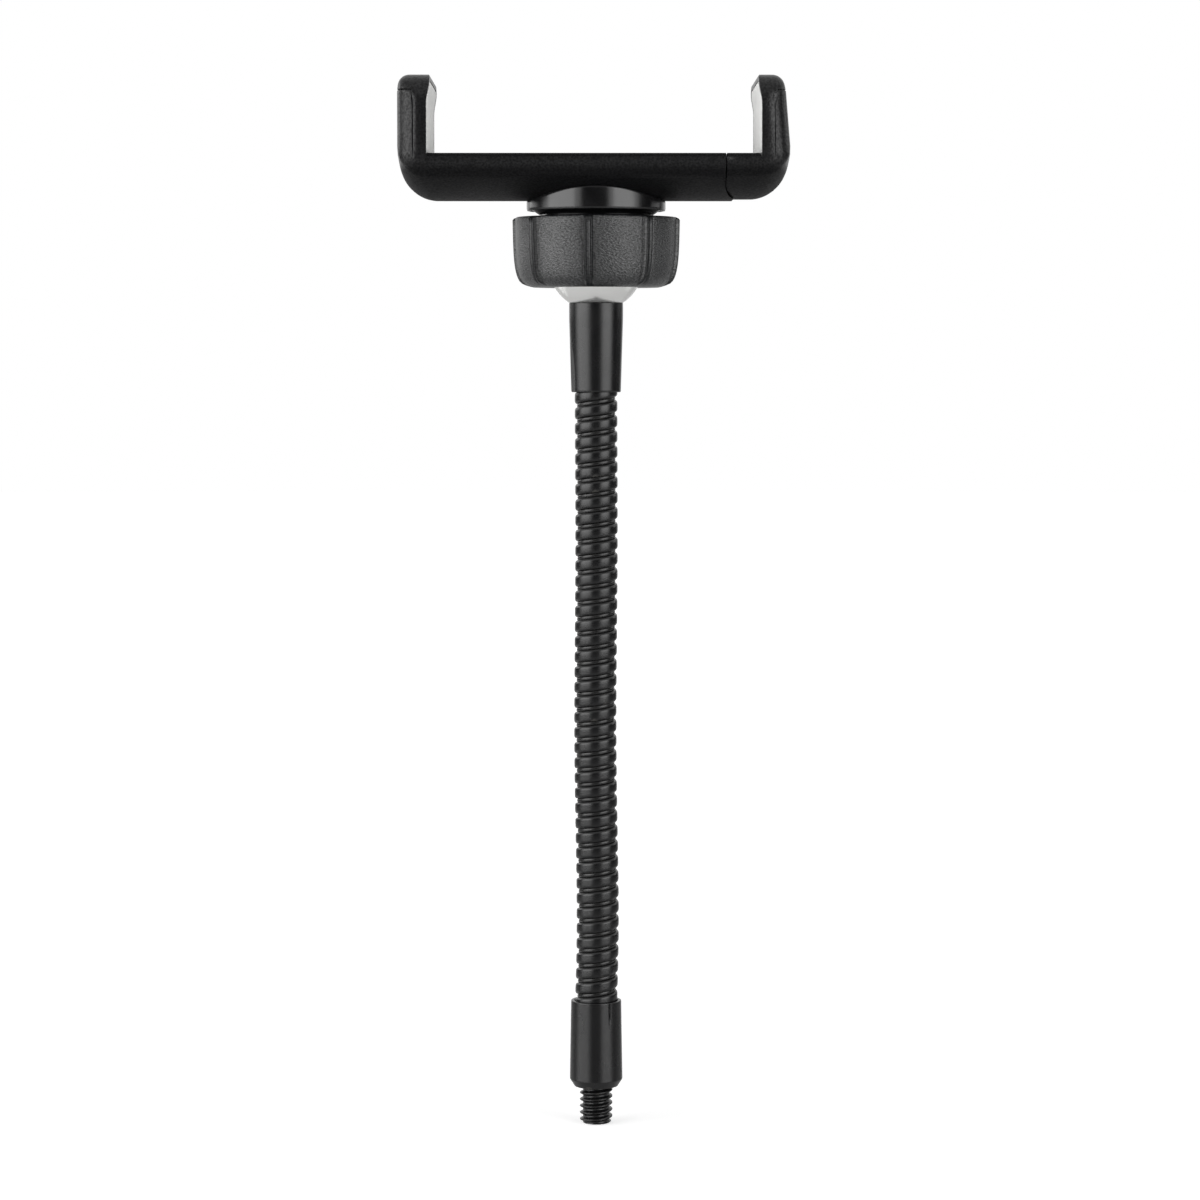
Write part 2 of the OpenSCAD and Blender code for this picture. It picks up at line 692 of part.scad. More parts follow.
module sliding_jaw() {
    foot = jaw_t + slide_foot - part_gap;
    color(black_plastic) {
        difference() {
            translate([right_x, 0, 0]) mirror([1, 0, 0])
                moulding(0, foot, corner_r, end_r, slide_lift, slide_draft);
            // Seat of the liner and its plate
            plate_seat(right_x - foot - over, right_x - jaw_shell + fit_gap);
            translate([right_x - jaw_t - fit_gap, -depth / 2 - over, ceiling_z])
                cube([jaw_t - jaw_shell + 2 * fit_gap, depth + 2 * over, cover_t]);
            at_jaw(1) liner_screw_holes();
        }
        // Frame: two rails and the bar that the springs push against
        difference() {
            translate([bar_x, -rail_out, rail_low])
                cube([right_x - foot - bar_x + over, 2 * rail_out, rail_t]);
            translate([bar_x + bar_w, -rail_in, rail_low - over])
                cube([right_x - foot - bar_x - bar_w, 2 * rail_in, rail_t + 2 * over]);
        }
        for (s = [-1, 1]) translate([bar_x + bar_w - over, s * spring_space / 2, spring_z])
            rotate([0, 90, 0]) cylinder(r = spigot_r, h = spigot_len + over, $fn = 32);
    }
}

// A compression spring along X between the bar and the fixed block
module spring(side) {
    r = spring_wire / 2;
    ring_r = spring_d / 2 - r;
    length = spring_to - spring_from - spring_wire;
    color(bright_metal) translate([spring_from + r, side * spring_space / 2, spring_z])
        rotate([0, 90, 0]) winding(
            [for (j = [0:4]) [ring_r + r * cos(72 * j), -r * sin(72 * j)]],
            0, length, length / spring_turns, spring_segments);
}
module near_spring() { spring(-1); }
module far_spring() { spring(1); }

threaded_stud();
lower_ferrule();
neck_strip();
neck_coil();
upper_ferrule();
ball_stud();
clamp_nut();
ball_socket();
socket_screws();
rear_shell();
front_cover();
cover_screws();
fixed_jaw_liner();
fixed_liner_screws();
fixed_jaw_pad();
sliding_jaw();
sliding_jaw_liner();
sliding_liner_screws();
sliding_jaw_pad();
near_spring();
far_spring();
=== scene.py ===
"""Looks of a phone clamp on a gooseneck: its finished pieces, materials, light and camera.

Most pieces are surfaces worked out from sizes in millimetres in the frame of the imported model,
whose Z axis is the neck's, with z = 0 at the foot of the lower ferrule. The moulded shells start
from the CAD's own surfaces, and the screws keep theirs.
"""

import bmesh
import bpy
import numpy as np
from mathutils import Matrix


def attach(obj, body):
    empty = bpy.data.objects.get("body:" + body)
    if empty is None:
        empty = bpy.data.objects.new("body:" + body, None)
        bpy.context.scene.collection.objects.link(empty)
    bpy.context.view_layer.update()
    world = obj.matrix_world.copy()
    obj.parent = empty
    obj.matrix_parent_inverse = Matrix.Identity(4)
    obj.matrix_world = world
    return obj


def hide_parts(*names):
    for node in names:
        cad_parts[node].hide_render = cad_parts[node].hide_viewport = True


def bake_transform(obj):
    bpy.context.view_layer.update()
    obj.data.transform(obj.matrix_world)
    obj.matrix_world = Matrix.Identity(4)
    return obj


bl_info = {
    "name": "Gooseneck phone clamp",
    "version": (1, 0, 0),
    "blender": (4, 5, 0),
    "location": "3D View > Sidebar > Clamp",
    "description": "Builds the finished pieces of a phone clamp on a bendable neck, and its studio",
    "category": "Object",
}

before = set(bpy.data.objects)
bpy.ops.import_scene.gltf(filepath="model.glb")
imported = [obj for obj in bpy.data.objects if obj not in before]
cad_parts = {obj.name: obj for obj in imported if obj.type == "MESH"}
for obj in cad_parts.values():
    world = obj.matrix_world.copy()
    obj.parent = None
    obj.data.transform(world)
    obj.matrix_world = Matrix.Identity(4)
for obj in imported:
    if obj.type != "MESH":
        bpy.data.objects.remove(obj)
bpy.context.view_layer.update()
MM = 0.001


def linear(code):
    """The linear RGBA of an sRGB colour written as hex."""
    value = np.array([int(code[i:i + 2], 16) for i in (1, 3, 5)]) / 255
    curve = np.where(value <= 0.04045, value / 12.92, ((value + 0.055) / 1.055) ** 2.4)
    return (*(float(c) for c in curve), 1.0)


def length(name, description, default, **more):
    """A property for a length given in millimetres and kept in metres."""
    return bpy.props.FloatProperty(name=name, description=description, default=default * MM,
                                   unit="LENGTH", precision=5, **more)


def colour(name, description, code):
    """A property for a colour given as sRGB hex."""
    return bpy.props.FloatVectorProperty(name=name, description=description, size=4, min=0, max=1,
                                         subtype="COLOR", default=linear(code))


class NeckSizes(bpy.types.PropertyGroup):
    """Sizes of the stud, the ferrules and the wound neck."""
    thread_pitch: length("Thread pitch", "Height of one turn of the stud's thread", 1.27)
    thread_depth: length("Thread depth", "From crest to root of the stud's thread", 0.62)
    pitch: length("Winding pitch", "Height of one turn of the neck", 2.88)
    band_width: length("Band width", "Width of the proud band of the neck", 2.07)
    crown: length("Band crown", "How far the band's middle stands past its edges", 0.284)
    sway: length("Sway", "How far the neck leans to a side, as one that has been bent", 0.42)
    dent: length("Crimp depth", "Depth of the crimp marks on the ferrules", 0.22)


class HeadSizes(bpy.types.PropertyGroup):
    """Sizes of the nut, the socket and the clamp."""
    ribs: bpy.props.IntProperty(name="Ribs", description="Number of ribs round the nut",
                                default=8, min=3, max=24)
    rib_turn: bpy.props.FloatProperty(name="Rib turn", description="Turn of the nut's ribs",
                                      default=np.radians(-5.5), subtype="ANGLE")
    rib_flat: length("Rib flat", "Width of a rib's top", 1.1)
    rib_flank: length("Rib flank", "Width of a rib's sloped side", 0.42)
    rib_height: length("Rib height", "How far a rib stands past the panels", 0.55)
    moulded_edge: length("Moulded edge", "Radius of the edges of the moulded shells", 0.22)
    seam_lift: length("Seam lift", "How far the seam under each jaw's cap is raised", 1.9)
    pad_crown: length("Pad crown", "How far a pad swells past its rim", 0.22)
    spring_turns: bpy.props.IntProperty(name="Spring turns", description="Turns of each spring",
                                        default=15, min=5, max=40)


class Finishes(bpy.types.PropertyGroup):
    """Colours of the materials."""
    abs_black: colour("Moulded body", "Matte black of the moulded body and jaws", "#0f0f10")
    socket_black: colour("Socket", "Black of the glossy socket", "#0d0d0e")
    nut_black: colour("Nut", "Black of the ribbed nut", "#111213")
    lacquer: colour("Lacquered steel", "Black lacquer of the neck and the ferrules", "#0b0b0c")
    nickel: colour("Ball", "Colour of the plated ball", "#f4f4f2")
    silicone: colour("Pads", "Light grey of the soft pads", "#f0f0ee")
    zinc: colour("Screws", "Colour of the plated screws", "#b4b7bb")
    wire: colour("Springs", "Colour of the spring wire", "#9d9ea1")


class StudioSettings(bpy.types.PropertyGroup):
    """Lamps, background and camera."""
    lamp_level: bpy.props.FloatProperty(name="Lamp level", default=14.5, min=0,
                                        description="Power of a soft box for its area, in W/m2")
    fill: bpy.props.FloatProperty(name="Fill", description="Light from the room", default=0.12, min=0)
    lamp_distance: length("Lamp distance", "From the neck to each soft box", 900)
    camera_distance: length("Camera distance", "From the neck to the camera", 680.2)
    camera_height: length("Camera height", "Height of the camera over the ferrule's foot", 141.0)
    camera_aside: length("Camera aside", "Sideways place of the camera", -1.7)
    camera_pitch: bpy.props.FloatProperty(name="Camera pitch", description="Downward tilt",
                                          default=np.radians(4.044), subtype="ANGLE")
    camera_yaw: bpy.props.FloatProperty(name="Camera yaw", description="Turn to the right",
                                        default=np.radians(0.205), subtype="ANGLE")
    focal_pixels: bpy.props.FloatProperty(name="Focal length in pixels", default=3603,
                                          description="Focal length for an image 1200 pixels wide")


def ease(value):
    """A smooth step from 0 to 1."""
    t = np.clip(value, 0, 1)
    return t * t * (3 - 2 * t)


def eased_corners(corners, reach, closed=True, steps=5):
    """A profile whose corners are quadratic curves that start and end `reach` before each corner."""
    p = np.array(corners, float)
    reach = np.broadcast_to(np.array(reach, float), len(p))[:, None]
    before, after = np.roll(p, 1, axis=0) - p, np.roll(p, -1, axis=0) - p
    a = p + before / np.linalg.norm(before, axis=1, keepdims=True) * reach
    b = p + after / np.linalg.norm(after, axis=1, keepdims=True) * reach
    t = np.linspace(0, 1, steps)[:, None, None]
    curve = ((1 - t) ** 2 * a + 2 * t * (1 - t) * p + t ** 2 * b).transpose(1, 0, 2)
    if not closed:
        curve[0], curve[-1] = p[0], p[-1]
    return curve.reshape(-1, 2)


def finer(profile, step):
    """A closed profile with more points, so that none is further than `step` from the next."""
    p = np.vstack([profile, profile[:1]])
    p = p[np.concatenate([[True], np.linalg.norm(np.diff(p, axis=0), axis=1) > 1e-6])]
    along = np.concatenate([[0], np.cumsum(np.linalg.norm(np.diff(p, axis=0), axis=1))])
    more = np.linspace(0, along[-1], int(along[-1] / step) + 2)
    at = np.unique(np.round(np.concatenate([along, more]), 5))
    return np.stack([np.interp(at, along, p[:, 0]), np.interp(at, along, p[:, 1])], axis=-1)[:-1]


def revolved(profile, angles):
    """A profile of radius and height turned about Z: x = r cos a, y = r sin a."""
    r, z = profile[:, :1], profile[:, 1:]
    return np.stack([r * np.cos(angles), r * np.sin(angles), z + 0 * angles], axis=-1)


def wound(profile, angles, low, pitch):
    """A profile of radius and height carried along a right-handed helix about Z, whose height
    is low + pitch * angle / one turn."""
    a = angles[:, None]
    r, z = profile[:, 0], profile[:, 1] + low + pitch * a / (2 * np.pi)
    return np.stack([r * np.cos(a), r * np.sin(a), z], axis=-1)


def capped(rings):
    """Rings of a sweep with their first and last ring drawn in to their middle points."""
    ends = rings[[0, -1]].mean(axis=1, keepdims=True) + 0 * rings[[0, -1]]
    return np.concatenate([ends[:1], rings, ends[1:]])


def grid_faces(rows, columns, wrap_rows, wrap_columns, start):
    """Quads between neighbours of a grid whose points are numbered from start, row by row."""
    i = np.arange(rows if wrap_rows else rows - 1)[:, None]
    j = np.arange(columns if wrap_columns else columns - 1)[None]
    k, m = (i + 1) % rows, (j + 1) % columns
    quads = [i * columns + j, i * columns + m, k * columns + m, k * columns + j]
    return np.stack(quads, axis=-1).reshape(-1, 4) + start


def add_piece(name, grids, body, material, replaces=(), crease=32):
    """One piece from grids of points in mm, each given with whether its rows and its columns
    close on themselves. Seams and poles are merged, faces turned outwards and creases kept."""
    points, faces, start = [], [], 0
    for grid, wrap_rows, wrap_columns in grids:
        rows, columns = grid.shape[:2]
        points.append(grid.reshape(-1, 3))
        faces.append(grid_faces(rows, columns, wrap_rows, wrap_columns, start))
        start += rows * columns
    mesh = bpy.data.meshes.new(name)
    mesh.from_pydata(np.concatenate(points) * MM, [], np.concatenate(faces).tolist())
    shape = bmesh.new()
    shape.from_mesh(mesh)
    bmesh.ops.remove_doubles(shape, verts=shape.verts, dist=2e-7)
    bmesh.ops.dissolve_degenerate(shape, edges=shape.edges, dist=2e-7)
    bmesh.ops.recalc_face_normals(shape, faces=shape.faces)
    shape.to_mesh(mesh)
    shape.free()
    mesh.shade_smooth()
    mesh.set_sharp_from_angle(angle=np.radians(crease))
    piece = bpy.data.objects.new(name, mesh)
    bpy.context.scene.collection.objects.link(piece)
    mesh.materials.append(material)
    if body:
        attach(piece, body)
    if replaces:
        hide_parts(*replaces)
    return piece


def points_of(mesh):
    """The places of a mesh's points, in mm."""
    flat = np.empty(len(mesh.vertices) * 3)
    mesh.vertices.foreach_get("co", flat)
    return flat.reshape(-1, 3) / MM


def add_node(tree, kind, inputs=None, **settings):
    """Adds a shader node with its settings, and its inputs' values or the sockets linked to them."""
    made = tree.nodes.new(kind)
    for key, value in settings.items():
        setattr(made, key, value)
    for key, value in (inputs or {}).items():
        if isinstance(value, bpy.types.NodeSocket):
            tree.links.new(value, made.inputs[key])
        else:
            made.inputs[key].default_value = value
    return made


def new_material(name):
    """An empty node material, its tree and its output node."""
    material = bpy.data.materials.get(name)
    if material:
        return material, None, None
    material = bpy.data.materials.new(name)
    material.use_nodes = True
    material.node_tree.nodes.clear()
    return material, material.node_tree, add_node(material.node_tree, "ShaderNodeOutputMaterial")


def principled(tree, out, inputs):
    """A principled shader with these inputs, linked to the output."""
    shader = add_node(tree, "ShaderNodeBsdfPrincipled", inputs)
    tree.links.new(shader.outputs[0], out.inputs["Surface"])
    return shader


def grain(tree, size, detail, vector=None):
    """A noise whose lumps are about size millimetres, in Object coordinates unless told."""
    vector = vector or add_node(tree, "ShaderNodeTexCoord").outputs["Object"]
    return add_node(tree, "ShaderNodeTexNoise", {"Vector": vector, "Scale": 1 / (size * MM),
                                                 "Detail": detail}).outputs["Fac"]


def between(tree, factor, low, high, start=0.0, end=1.0):
    """A number that goes from low to high as factor goes from start to end."""
    return add_node(tree, "ShaderNodeMapRange", {"Value": factor, "From Min": start, "From Max": end,
                                                 "To Min": low, "To Max": high}).outputs[0]


def mixed(tree, factor, low, high):
    """A colour between two colours, each a value or a socket."""
    return add_node(tree, "ShaderNodeMix", {"Factor": factor, 6: low, 7: high},
                    data_type="RGBA").outputs[2]


def bump(tree, height, depth, strength):
    """A normal from a height, whose full range is depth millimetres."""
    return add_node(tree, "ShaderNodeBump", {"Height": height, "Strength": strength,
                                             "Distance": depth * MM}).outputs[0]


def shade(code, factor):
    """A colour made darker or lighter by a factor."""
    return (*(min(1.0, c * factor) for c in code[:3]), 1.0)


def textured_abs():
    """ABS moulded in a spark-eroded tool: a soft even sheen over a fine pebbled grain. On the round
    back, which the "back" attribute marks, only a third of the sheen is kept, as painted shade."""
    material, tree, out = new_material("textured_moulded_abs")
    if tree:
        black = bpy.context.scene.clamp_finishes.abs_black
        # Real grain is about 0.15 mm; it is drawn at 0.4 mm so that it shows
        lumps, cloud = grain(tree, 0.4, 2), grain(tree, 9, 2)
        back = add_node(tree, "ShaderNodeAttribute", attribute_name="back").outputs["Fac"]
        # The grain breaks the sheen up, and the back keeps a third of it and is 0.2 rougher: the sheen
        # lost there is painted shade on the underside
        broken = between(tree, lumps, 0.15, 0.35, 0.35, 0.65)
        sheen = add_node(tree, "ShaderNodeMath", {0: between(tree, back, 1.0, 0.3), 1: broken},
                         operation="MULTIPLY").outputs[0]
        even = between(tree, cloud, 0.32, 0.36, 0.35, 0.65)
        rough = add_node(tree, "ShaderNodeMath", {0: back, 1: 0.2, 2: even},
                         operation="MULTIPLY_ADD").outputs[0]
        principled(tree, out, {
            "Base Color": mixed(tree, lumps, shade(black, 0.5), shade(black, 1.5)),
            "Roughness": rough, "Specular IOR Level": sheen,
            "Normal": bump(tree, lumps, 0.05, 0.8)})
    return material


def glossy_abs():
    """ABS moulded in a polished tool: dark, with clear reflections and faint flow marks."""
    material, tree, out = new_material("polished_moulded_abs")
    if tree:
        black = bpy.context.scene.clamp_finishes.socket_black
        cloud = grain(tree, 5, 3)
        principled(tree, out, {
            "Base Color": mixed(tree, cloud, shade(black, 0.8), shade(black, 1.3)),
            "Roughness": between(tree, cloud, 0.14, 0.24, 0.3, 0.7),
            "Normal": bump(tree, cloud, 0.02, 0.4)})
    return material


def grained_nylon():
    """Glass-filled nylon moulded with a slanted grain on the panels and smooth, duller ribs."""
    material, tree, out = new_material("grained_moulded_nylon")
    if tree:
        black = bpy.context.scene.clamp_finishes.nut_black
        unrolled = add_node(tree, "ShaderNodeAttribute", attribute_name="unrolled").outputs["Vector"]
        rib = add_node(tree, "ShaderNodeAttribute", attribute_name="rib").outputs["Fac"]
        # Leather-like grain of about 0.5 mm, drawn out a little along a slant
        slant = add_node(tree, "ShaderNodeMapping", {"Vector": unrolled, "Rotation": (0, 0, 0.9),
                                                     "Scale": (1.0, 1.7, 1.0)}).outputs[0]
        lines = between(tree, grain(tree, 0.45, 3, slant), 0, 1, 0.3, 0.7)
        height = add_node(tree, "ShaderNodeMath", {0: lines, 1: between(tree, rib, 1.0, 0.0)},
                          operation="MULTIPLY").outputs[0]
        sheen = add_node(tree, "ShaderNodeMath", {0: between(tree, rib, 1.0, 0.4),
                                                  1: between(tree, lines, 0.4, 1.2)},
                         operation="MULTIPLY").outputs[0]
        principled(tree, out, {
            "Base Color": mixed(tree, lines, shade(black, 0.4), shade(black, 2.2)),
            "Roughness": between(tree, rib, 0.36, 0.3), "Specular IOR Level": sheen,
            "Normal": bump(tree, height, 0.07, 1.0)})
    return material


def lacquered_steel():
    """Steel under a baked black lacquer: satin, with a worn sheen on the sharpest edges."""
    material, tree, out = new_material("black_lacquered_steel")
    if tree:
        black = bpy.context.scene.clamp_finishes.lacquer
        cloud, lumps = grain(tree, 6, 3), grain(tree, 0.6, 2)
        edge = add_node(tree, "ShaderNodeNewGeometry").outputs["Pointiness"]
        worn = add_node(tree, "ShaderNodeMath", {0: between(tree, edge, 0, 0.6, 0.53, 0.6), 1: cloud},
                        operation="MULTIPLY").outputs[0]
        principled(tree, out, {
            "Base Color": mixed(tree, worn, black, linear("#5a5854")),
            "Roughness": between(tree, cloud, 0.24, 0.3, 0.3, 0.7),
            "Specular IOR Level": 0.42,
            "Normal": bump(tree, lumps, 0.003, 0.5)})
    return material


def plated_nickel():
    """Ground and nickel-plated steel: a warm grey mirror, a little hazy from the grinding."""
    material, tree, out = new_material("ground_nickel_plate")
    if tree:
        nickel = bpy.context.scene.clamp_finishes.nickel
        cloud = grain(tree, 3, 3)
        principled(tree, out, {
            "Base Color": mixed(tree, cloud, shade(nickel, 0.96), shade(nickel, 1.03)),
            "Metallic": 1.0, "Roughness": between(tree, cloud, 0.16, 0.22, 0.3, 0.7)})
    return material


def moulded_silicone():
    """Compression-moulded silicone: matte light grey with a dry, even skin."""
    material, tree, out = new_material("moulded_grey_silicone")
    if tree:
        grey = bpy.context.scene.clamp_finishes.silicone
        lumps, cloud = grain(tree, 0.5, 3), grain(tree, 7, 2)
        principled(tree, out, {
            "Base Color": mixed(tree, cloud, shade(grey, 0.96), shade(grey, 1.03)),
            "Roughness": 0.72, "Specular IOR Level": 0.35,
            "Normal": bump(tree, lumps, 0.05, 0.5)})
    return material


def zinc_plated_steel():
    """Bright zinc on a pressed screw: pale, bluish and slightly rough."""
    material, tree, out = new_material("bright_zinc_plate")
    if tree:
        zinc = bpy.context.scene.clamp_finishes.zinc
        cloud = grain(tree, 0.9, 3)
        principled(tree, out, {
            "Base Color": mixed(tree, cloud, shade(zinc, 0.85), shade(zinc, 1.05)),
            "Metallic": 1.0, "Roughness": between(tree, cloud, 0.28, 0.42, 0.3, 0.7)})
    return material


def drawn_spring_steel():
    """Drawn spring wire: grey metal, finely mottled by the drawing."""
    material, tree, out = new_material("drawn_spring_steel")
    if tree:
        wire = bpy.context.scene.clamp_finishes.wire
        mottle = grain(tree, 0.35, 2)
        principled(tree, out, {
            "Base Color": mixed(tree, mottle, shade(wire, 0.8), shade(wire, 1.1)),
            "Metallic": 1.0, "Roughness": between(tree, mottle, 0.24, 0.38, 0.3, 0.7)})
    return material


# Places that the pieces share, in mm
STUD_TIP, FOOT_LOW, FOOT_HIGH = -7.2, 0.0, 16.5
NECK_LOW, NECK_HIGH, NECK_MIDDLE = 10.5, 138.2, 74.4
NECK_RADIUS, BORE_RADIUS, WIRE_BORE = 4.025, 4.175, 2.065
CUFF_LOW, CUFF_HIGH = 132.2, 148.9
BALL_Z, BALL_RADIUS, TURN_GAP = 156.55, 9.12, 0.06
NUT_LOW, NUT_HIGH, NUT_BORE = 151.85, 164.95, 10.91
FLANGE_LOW, FLANGE_RADIUS = 166.4, 13.05
BACK_Z, BACK_RADIUS, TOP_Z = 168.0, 34.9, 176.1
LEFT_X, RIGHT_X, JAW_THICK, PAD_FLOOR = -36.6, 35.8, 5.5, 4.2
HALF_DEPTH, JAW_HEIGHT = 18, 14.5


def around(count):
    """Angles once round, from the back."""
    return np.linspace(-1.5 * np.pi, 0.5 * np.pi, count, endpoint=False)


def turned(a, centre):
    """Angle from a centre direction, between minus and plus half a turn."""
    return (a - centre + np.pi) % (2 * np.pi) - np.pi


class CLAMP_OT_stud(bpy.types.Operator):
    """Builds the threaded stud: a thread's profile carried along its helix, held between the
    rounded end and the shoulder, and a plain shank above it"""
    bl_idname = "clamp.stud"
    bl_label = "Threaded stud"

    def execute(self, context):
        sizes = context.scene.clamp_neck
        pitch, depth = sizes.thread_pitch / MM, sizes.thread_depth / MM
        # Radii of the crests, the shank and the flat tip, the height of the tip's rounding, the
        # height over which the thread runs out under the ferrule, and the shank's top
        crest, shank, tip, rounding, run_out, top = 3.12, 2.8, 2.12, 0.95, 0.3, 8.5
        turns = (FOOT_LOW - STUD_TIP) / pitch + 2
        a = np.linspace(0, 2 * np.pi * turns, int(72 * turns))[:, None]
        phase = np.linspace(0, 1, 15)
        z = STUD_TIP + pitch * (a / (2 * np.pi) + phase - 1.4)
        # Trapezoid of the thread: flat crest, 60 degree flanks and a rounded root
        r = crest - depth * ease(np.abs(phase - 0.5) * 2 * 1.35 - 0.12) + 0 * z
        up = (z - STUD_TIP) / rounding
        end = tip + (crest - tip) * np.sqrt(np.clip(1 - (1 - up) ** 2, 0, 1))
        r = np.where(up < 1, np.minimum(r, np.where(up < 0, tip, end)), r)
        r += (shank - r) * ease((z + run_out) / run_out)
        z = np.clip(z, STUD_TIP, FOOT_LOW)
        thread = np.stack([r * np.cos(a), r * np.sin(a), z], axis=-1)
        end_face = revolved(np.array([[0, STUD_TIP], [1.2, STUD_TIP], [tip, STUD_TIP]]), around(72))
        plain = revolved(eased_corners([[shank, FOOT_LOW], [shank, top], [0, top]], [0, 0.3, 0],
                                       closed=False), around(72))
        add_piece("stud", [(thread, False, False), (end_face, False, True), (plain, False, True)],
                  "base", lacquered_steel(), ["threaded_stud"], crease=40)
        return {"FINISHED"}


class CLAMP_OT_ferrules(bpy.types.Operator):
    """Builds both ferrules: wall profiles turned about the axis and pressed in where they are
    crimped"""
    bl_idname = "clamp.ferrules"
    bl_label = "Ferrules"

    def execute(self, context):
        dent = context.scene.clamp_neck.dent / MM
        a = around(384)
        # The foot ferrule holds the stud's shank under a web of metal and the neck over it
        shank_bore, recess_r, recess, web_low, web_high = 2.85, 3.225, 0.05, 8.55, 10.45
        wall = eased_corners(
            [[shank_bore, recess], [recess_r, recess], [recess_r, 0], [4.15, 0], [5.02, 1.4],
             [4.775, FOOT_HIGH], [BORE_RADIUS, FOOT_HIGH], [BORE_RADIUS, web_high],
             [WIRE_BORE, web_high], [WIRE_BORE, web_low], [shank_bore, web_low]],
            [0.02, 0.02, 0.02, 0.06, 0.08, 0.18, 0.1, 0.05, 0.05, 0.05, 0.05])
        grid = revolved(finer(wall, 0.35), a)
        r, z = np.hypot(grid[..., 0], grid[..., 1]), grid[..., 2]
        outer = (r > 4.5) & (z > 0.5)
        # Two narrow crimp marks, at angles from the front, that fade downwards from the rim
        mean_r, mark_width, mark_low, mark_fade = 4.8, 0.15, 11.6, 3.5
        across = [turned(a, np.radians(-90 + at)) * mean_r for at in (32.5, -147.5)]
        mark = sum(np.exp(-(s / mark_width) ** 2) for s in across) * ease((z - mark_low) / mark_fade)
        grid[..., :2] *= (1 - np.where(outer, dent * mark / r, 0))[..., None]
        add_piece("foot_ferrule", [(grid, True, True)], "base", lacquered_steel(),
                  ["lower_ferrule"])

        # The cuff ferrule holds the neck under a web and the ball's shank over it, and its rim is
        # a dish for the ball
        dish, dish_in, dish_out, rim_r = BALL_RADIUS + TURN_GAP, 2.86, 5.0, 5.075
        web_low, web_high = 138.25, 140.2
        seat_r = np.linspace(dish_out, dish_in, 8)
        seat = np.stack([seat_r, BALL_Z - np.sqrt(dish ** 2 - seat_r ** 2)], axis=-1)
        lip = BALL_Z - np.sqrt(dish ** 2 - rim_r ** 2)
        wall = np.concatenate([
            eased_corners([[WIRE_BORE, web_low], [BORE_RADIUS, web_low], [BORE_RADIUS, CUFF_LOW],
                           [4.6, CUFF_LOW], [4.675, CUFF_LOW + 0.3], [rim_r, CUFF_HIGH - 3],
                           [rim_r, lip - 0.02]],
                          [0.05, 0.05, 0.1, 0.1, 0.1, 0.6, 0.05], closed=False),
            seat, [[dish_in, web_high], [WIRE_BORE, web_high]]])
        grid = revolved(finer(wall, 0.3), a)
        r, z = np.hypot(grid[..., 0], grid[..., 1]), grid[..., 2]
        # Shallow facets left by the crimping tool: towards the cuff's foot, two sides of the wall
        # are pressed to a plane, whose distance from the axis grows from 4.52 to 5.12 mm
        widest_turn = 1.2
        for at in (-72, 108):
            aside = np.minimum(np.abs(turned(a, np.radians(-90 + at))), widest_turn)
            chord = (4.52 + 0.6 * ease((z - CUFF_LOW - 0.5) / 14)) / np.cos(aside)
            grid[..., :2] *= np.where(r > 4.4, np.minimum(chord / r, 1), 1)[..., None]
        add_piece("cuff_ferrule", [(grid, True, True)], "neck_top",
                  lacquered_steel(), ["upper_ferrule"])
        return {"FINISHED"}


class CLAMP_OT_neck(bpy.types.Operator):
    """Builds the wound neck: a crowned wedge band and a round wire, each carried along a helix
    and parted at half height"""
    bl_idname = "clamp.neck"
    bl_label = "Wound neck"

    def sway(self, grid, size):
        """Leans a winding to the side by a wave that dies out over the neck's height t, from 0 to
        1: size * exp(-2.2 t) * sin(1.55 turns * t) * ease(8 (1 - t))."""
        t = np.clip((grid[..., 2] - FOOT_HIGH) / (CUFF_LOW - FOOT_HIGH), 0, 1)
        grid[..., 0] += size * np.exp(-2.2 * t) * np.sin(2 * np.pi * 1.55 * t) * ease(8 * (1 - t))

    def execute(self, context):
        sizes = context.scene.clamp_neck
        pitch, width, crown = sizes.pitch / MM, sizes.band_width / MM, sizes.crown / MM
        half, per_turn = width / 2, 56
        # The band's shoulder and root, and the wire's centre and radius
        shoulder_r, root_r, root, centre_r, wire_r = 3.5, 2.85, 0.4, 2.92, 0.69
        # Crown of the band, then its two flanks, which meet the wires on their way in
        s = np.array([-1, -0.94, -0.84, -0.68, -0.4, 0, 0.4, 0.68, 0.84, 0.94, 1])
        face = np.stack([NECK_RADIUS - crown * np.abs(s) ** 6, s * half], axis=-1)
        band = np.concatenate([face, [[shoulder_r, half * 0.99], [root_r, root], [root_r, -root],
                                      [shoulder_r, -half * 0.99]]])
        turn = np.linspace(0, 2 * np.pi, 17)[:-1]
        wire = np.stack([centre_r + wire_r * np.cos(turn), wire_r * np.sin(turn)], axis=-1)
        low, high = NECK_LOW + half, NECK_HIGH - half
        steel = lacquered_steel()
        runs = (("band", band, low, high, "neck_strip", 0.0),
                ("wire", wire, low + pitch / 2, high - pitch / 2, "neck_coil", 0.5))
        for name, profile, first, last, node, half_turn in runs:
            start, middle, end = (2 * np.pi * (z - first) / pitch for z in (first, NECK_MIDDLE, last))
            for part, a0, a1 in (("lower", start, middle), ("upper", middle, end)):
                angles = np.linspace(a0, a1, int((a1 - a0) / (2 * np.pi) * per_turn))
                grid = capped(wound(profile, angles, first, pitch))
                self.sway(grid, sizes.sway / MM)
                piece = add_piece(f"{name}_{part}", [(grid, False, True)], None, steel,
                                  [node], crease=38)
                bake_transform(piece)
        return {"FINISHED"}


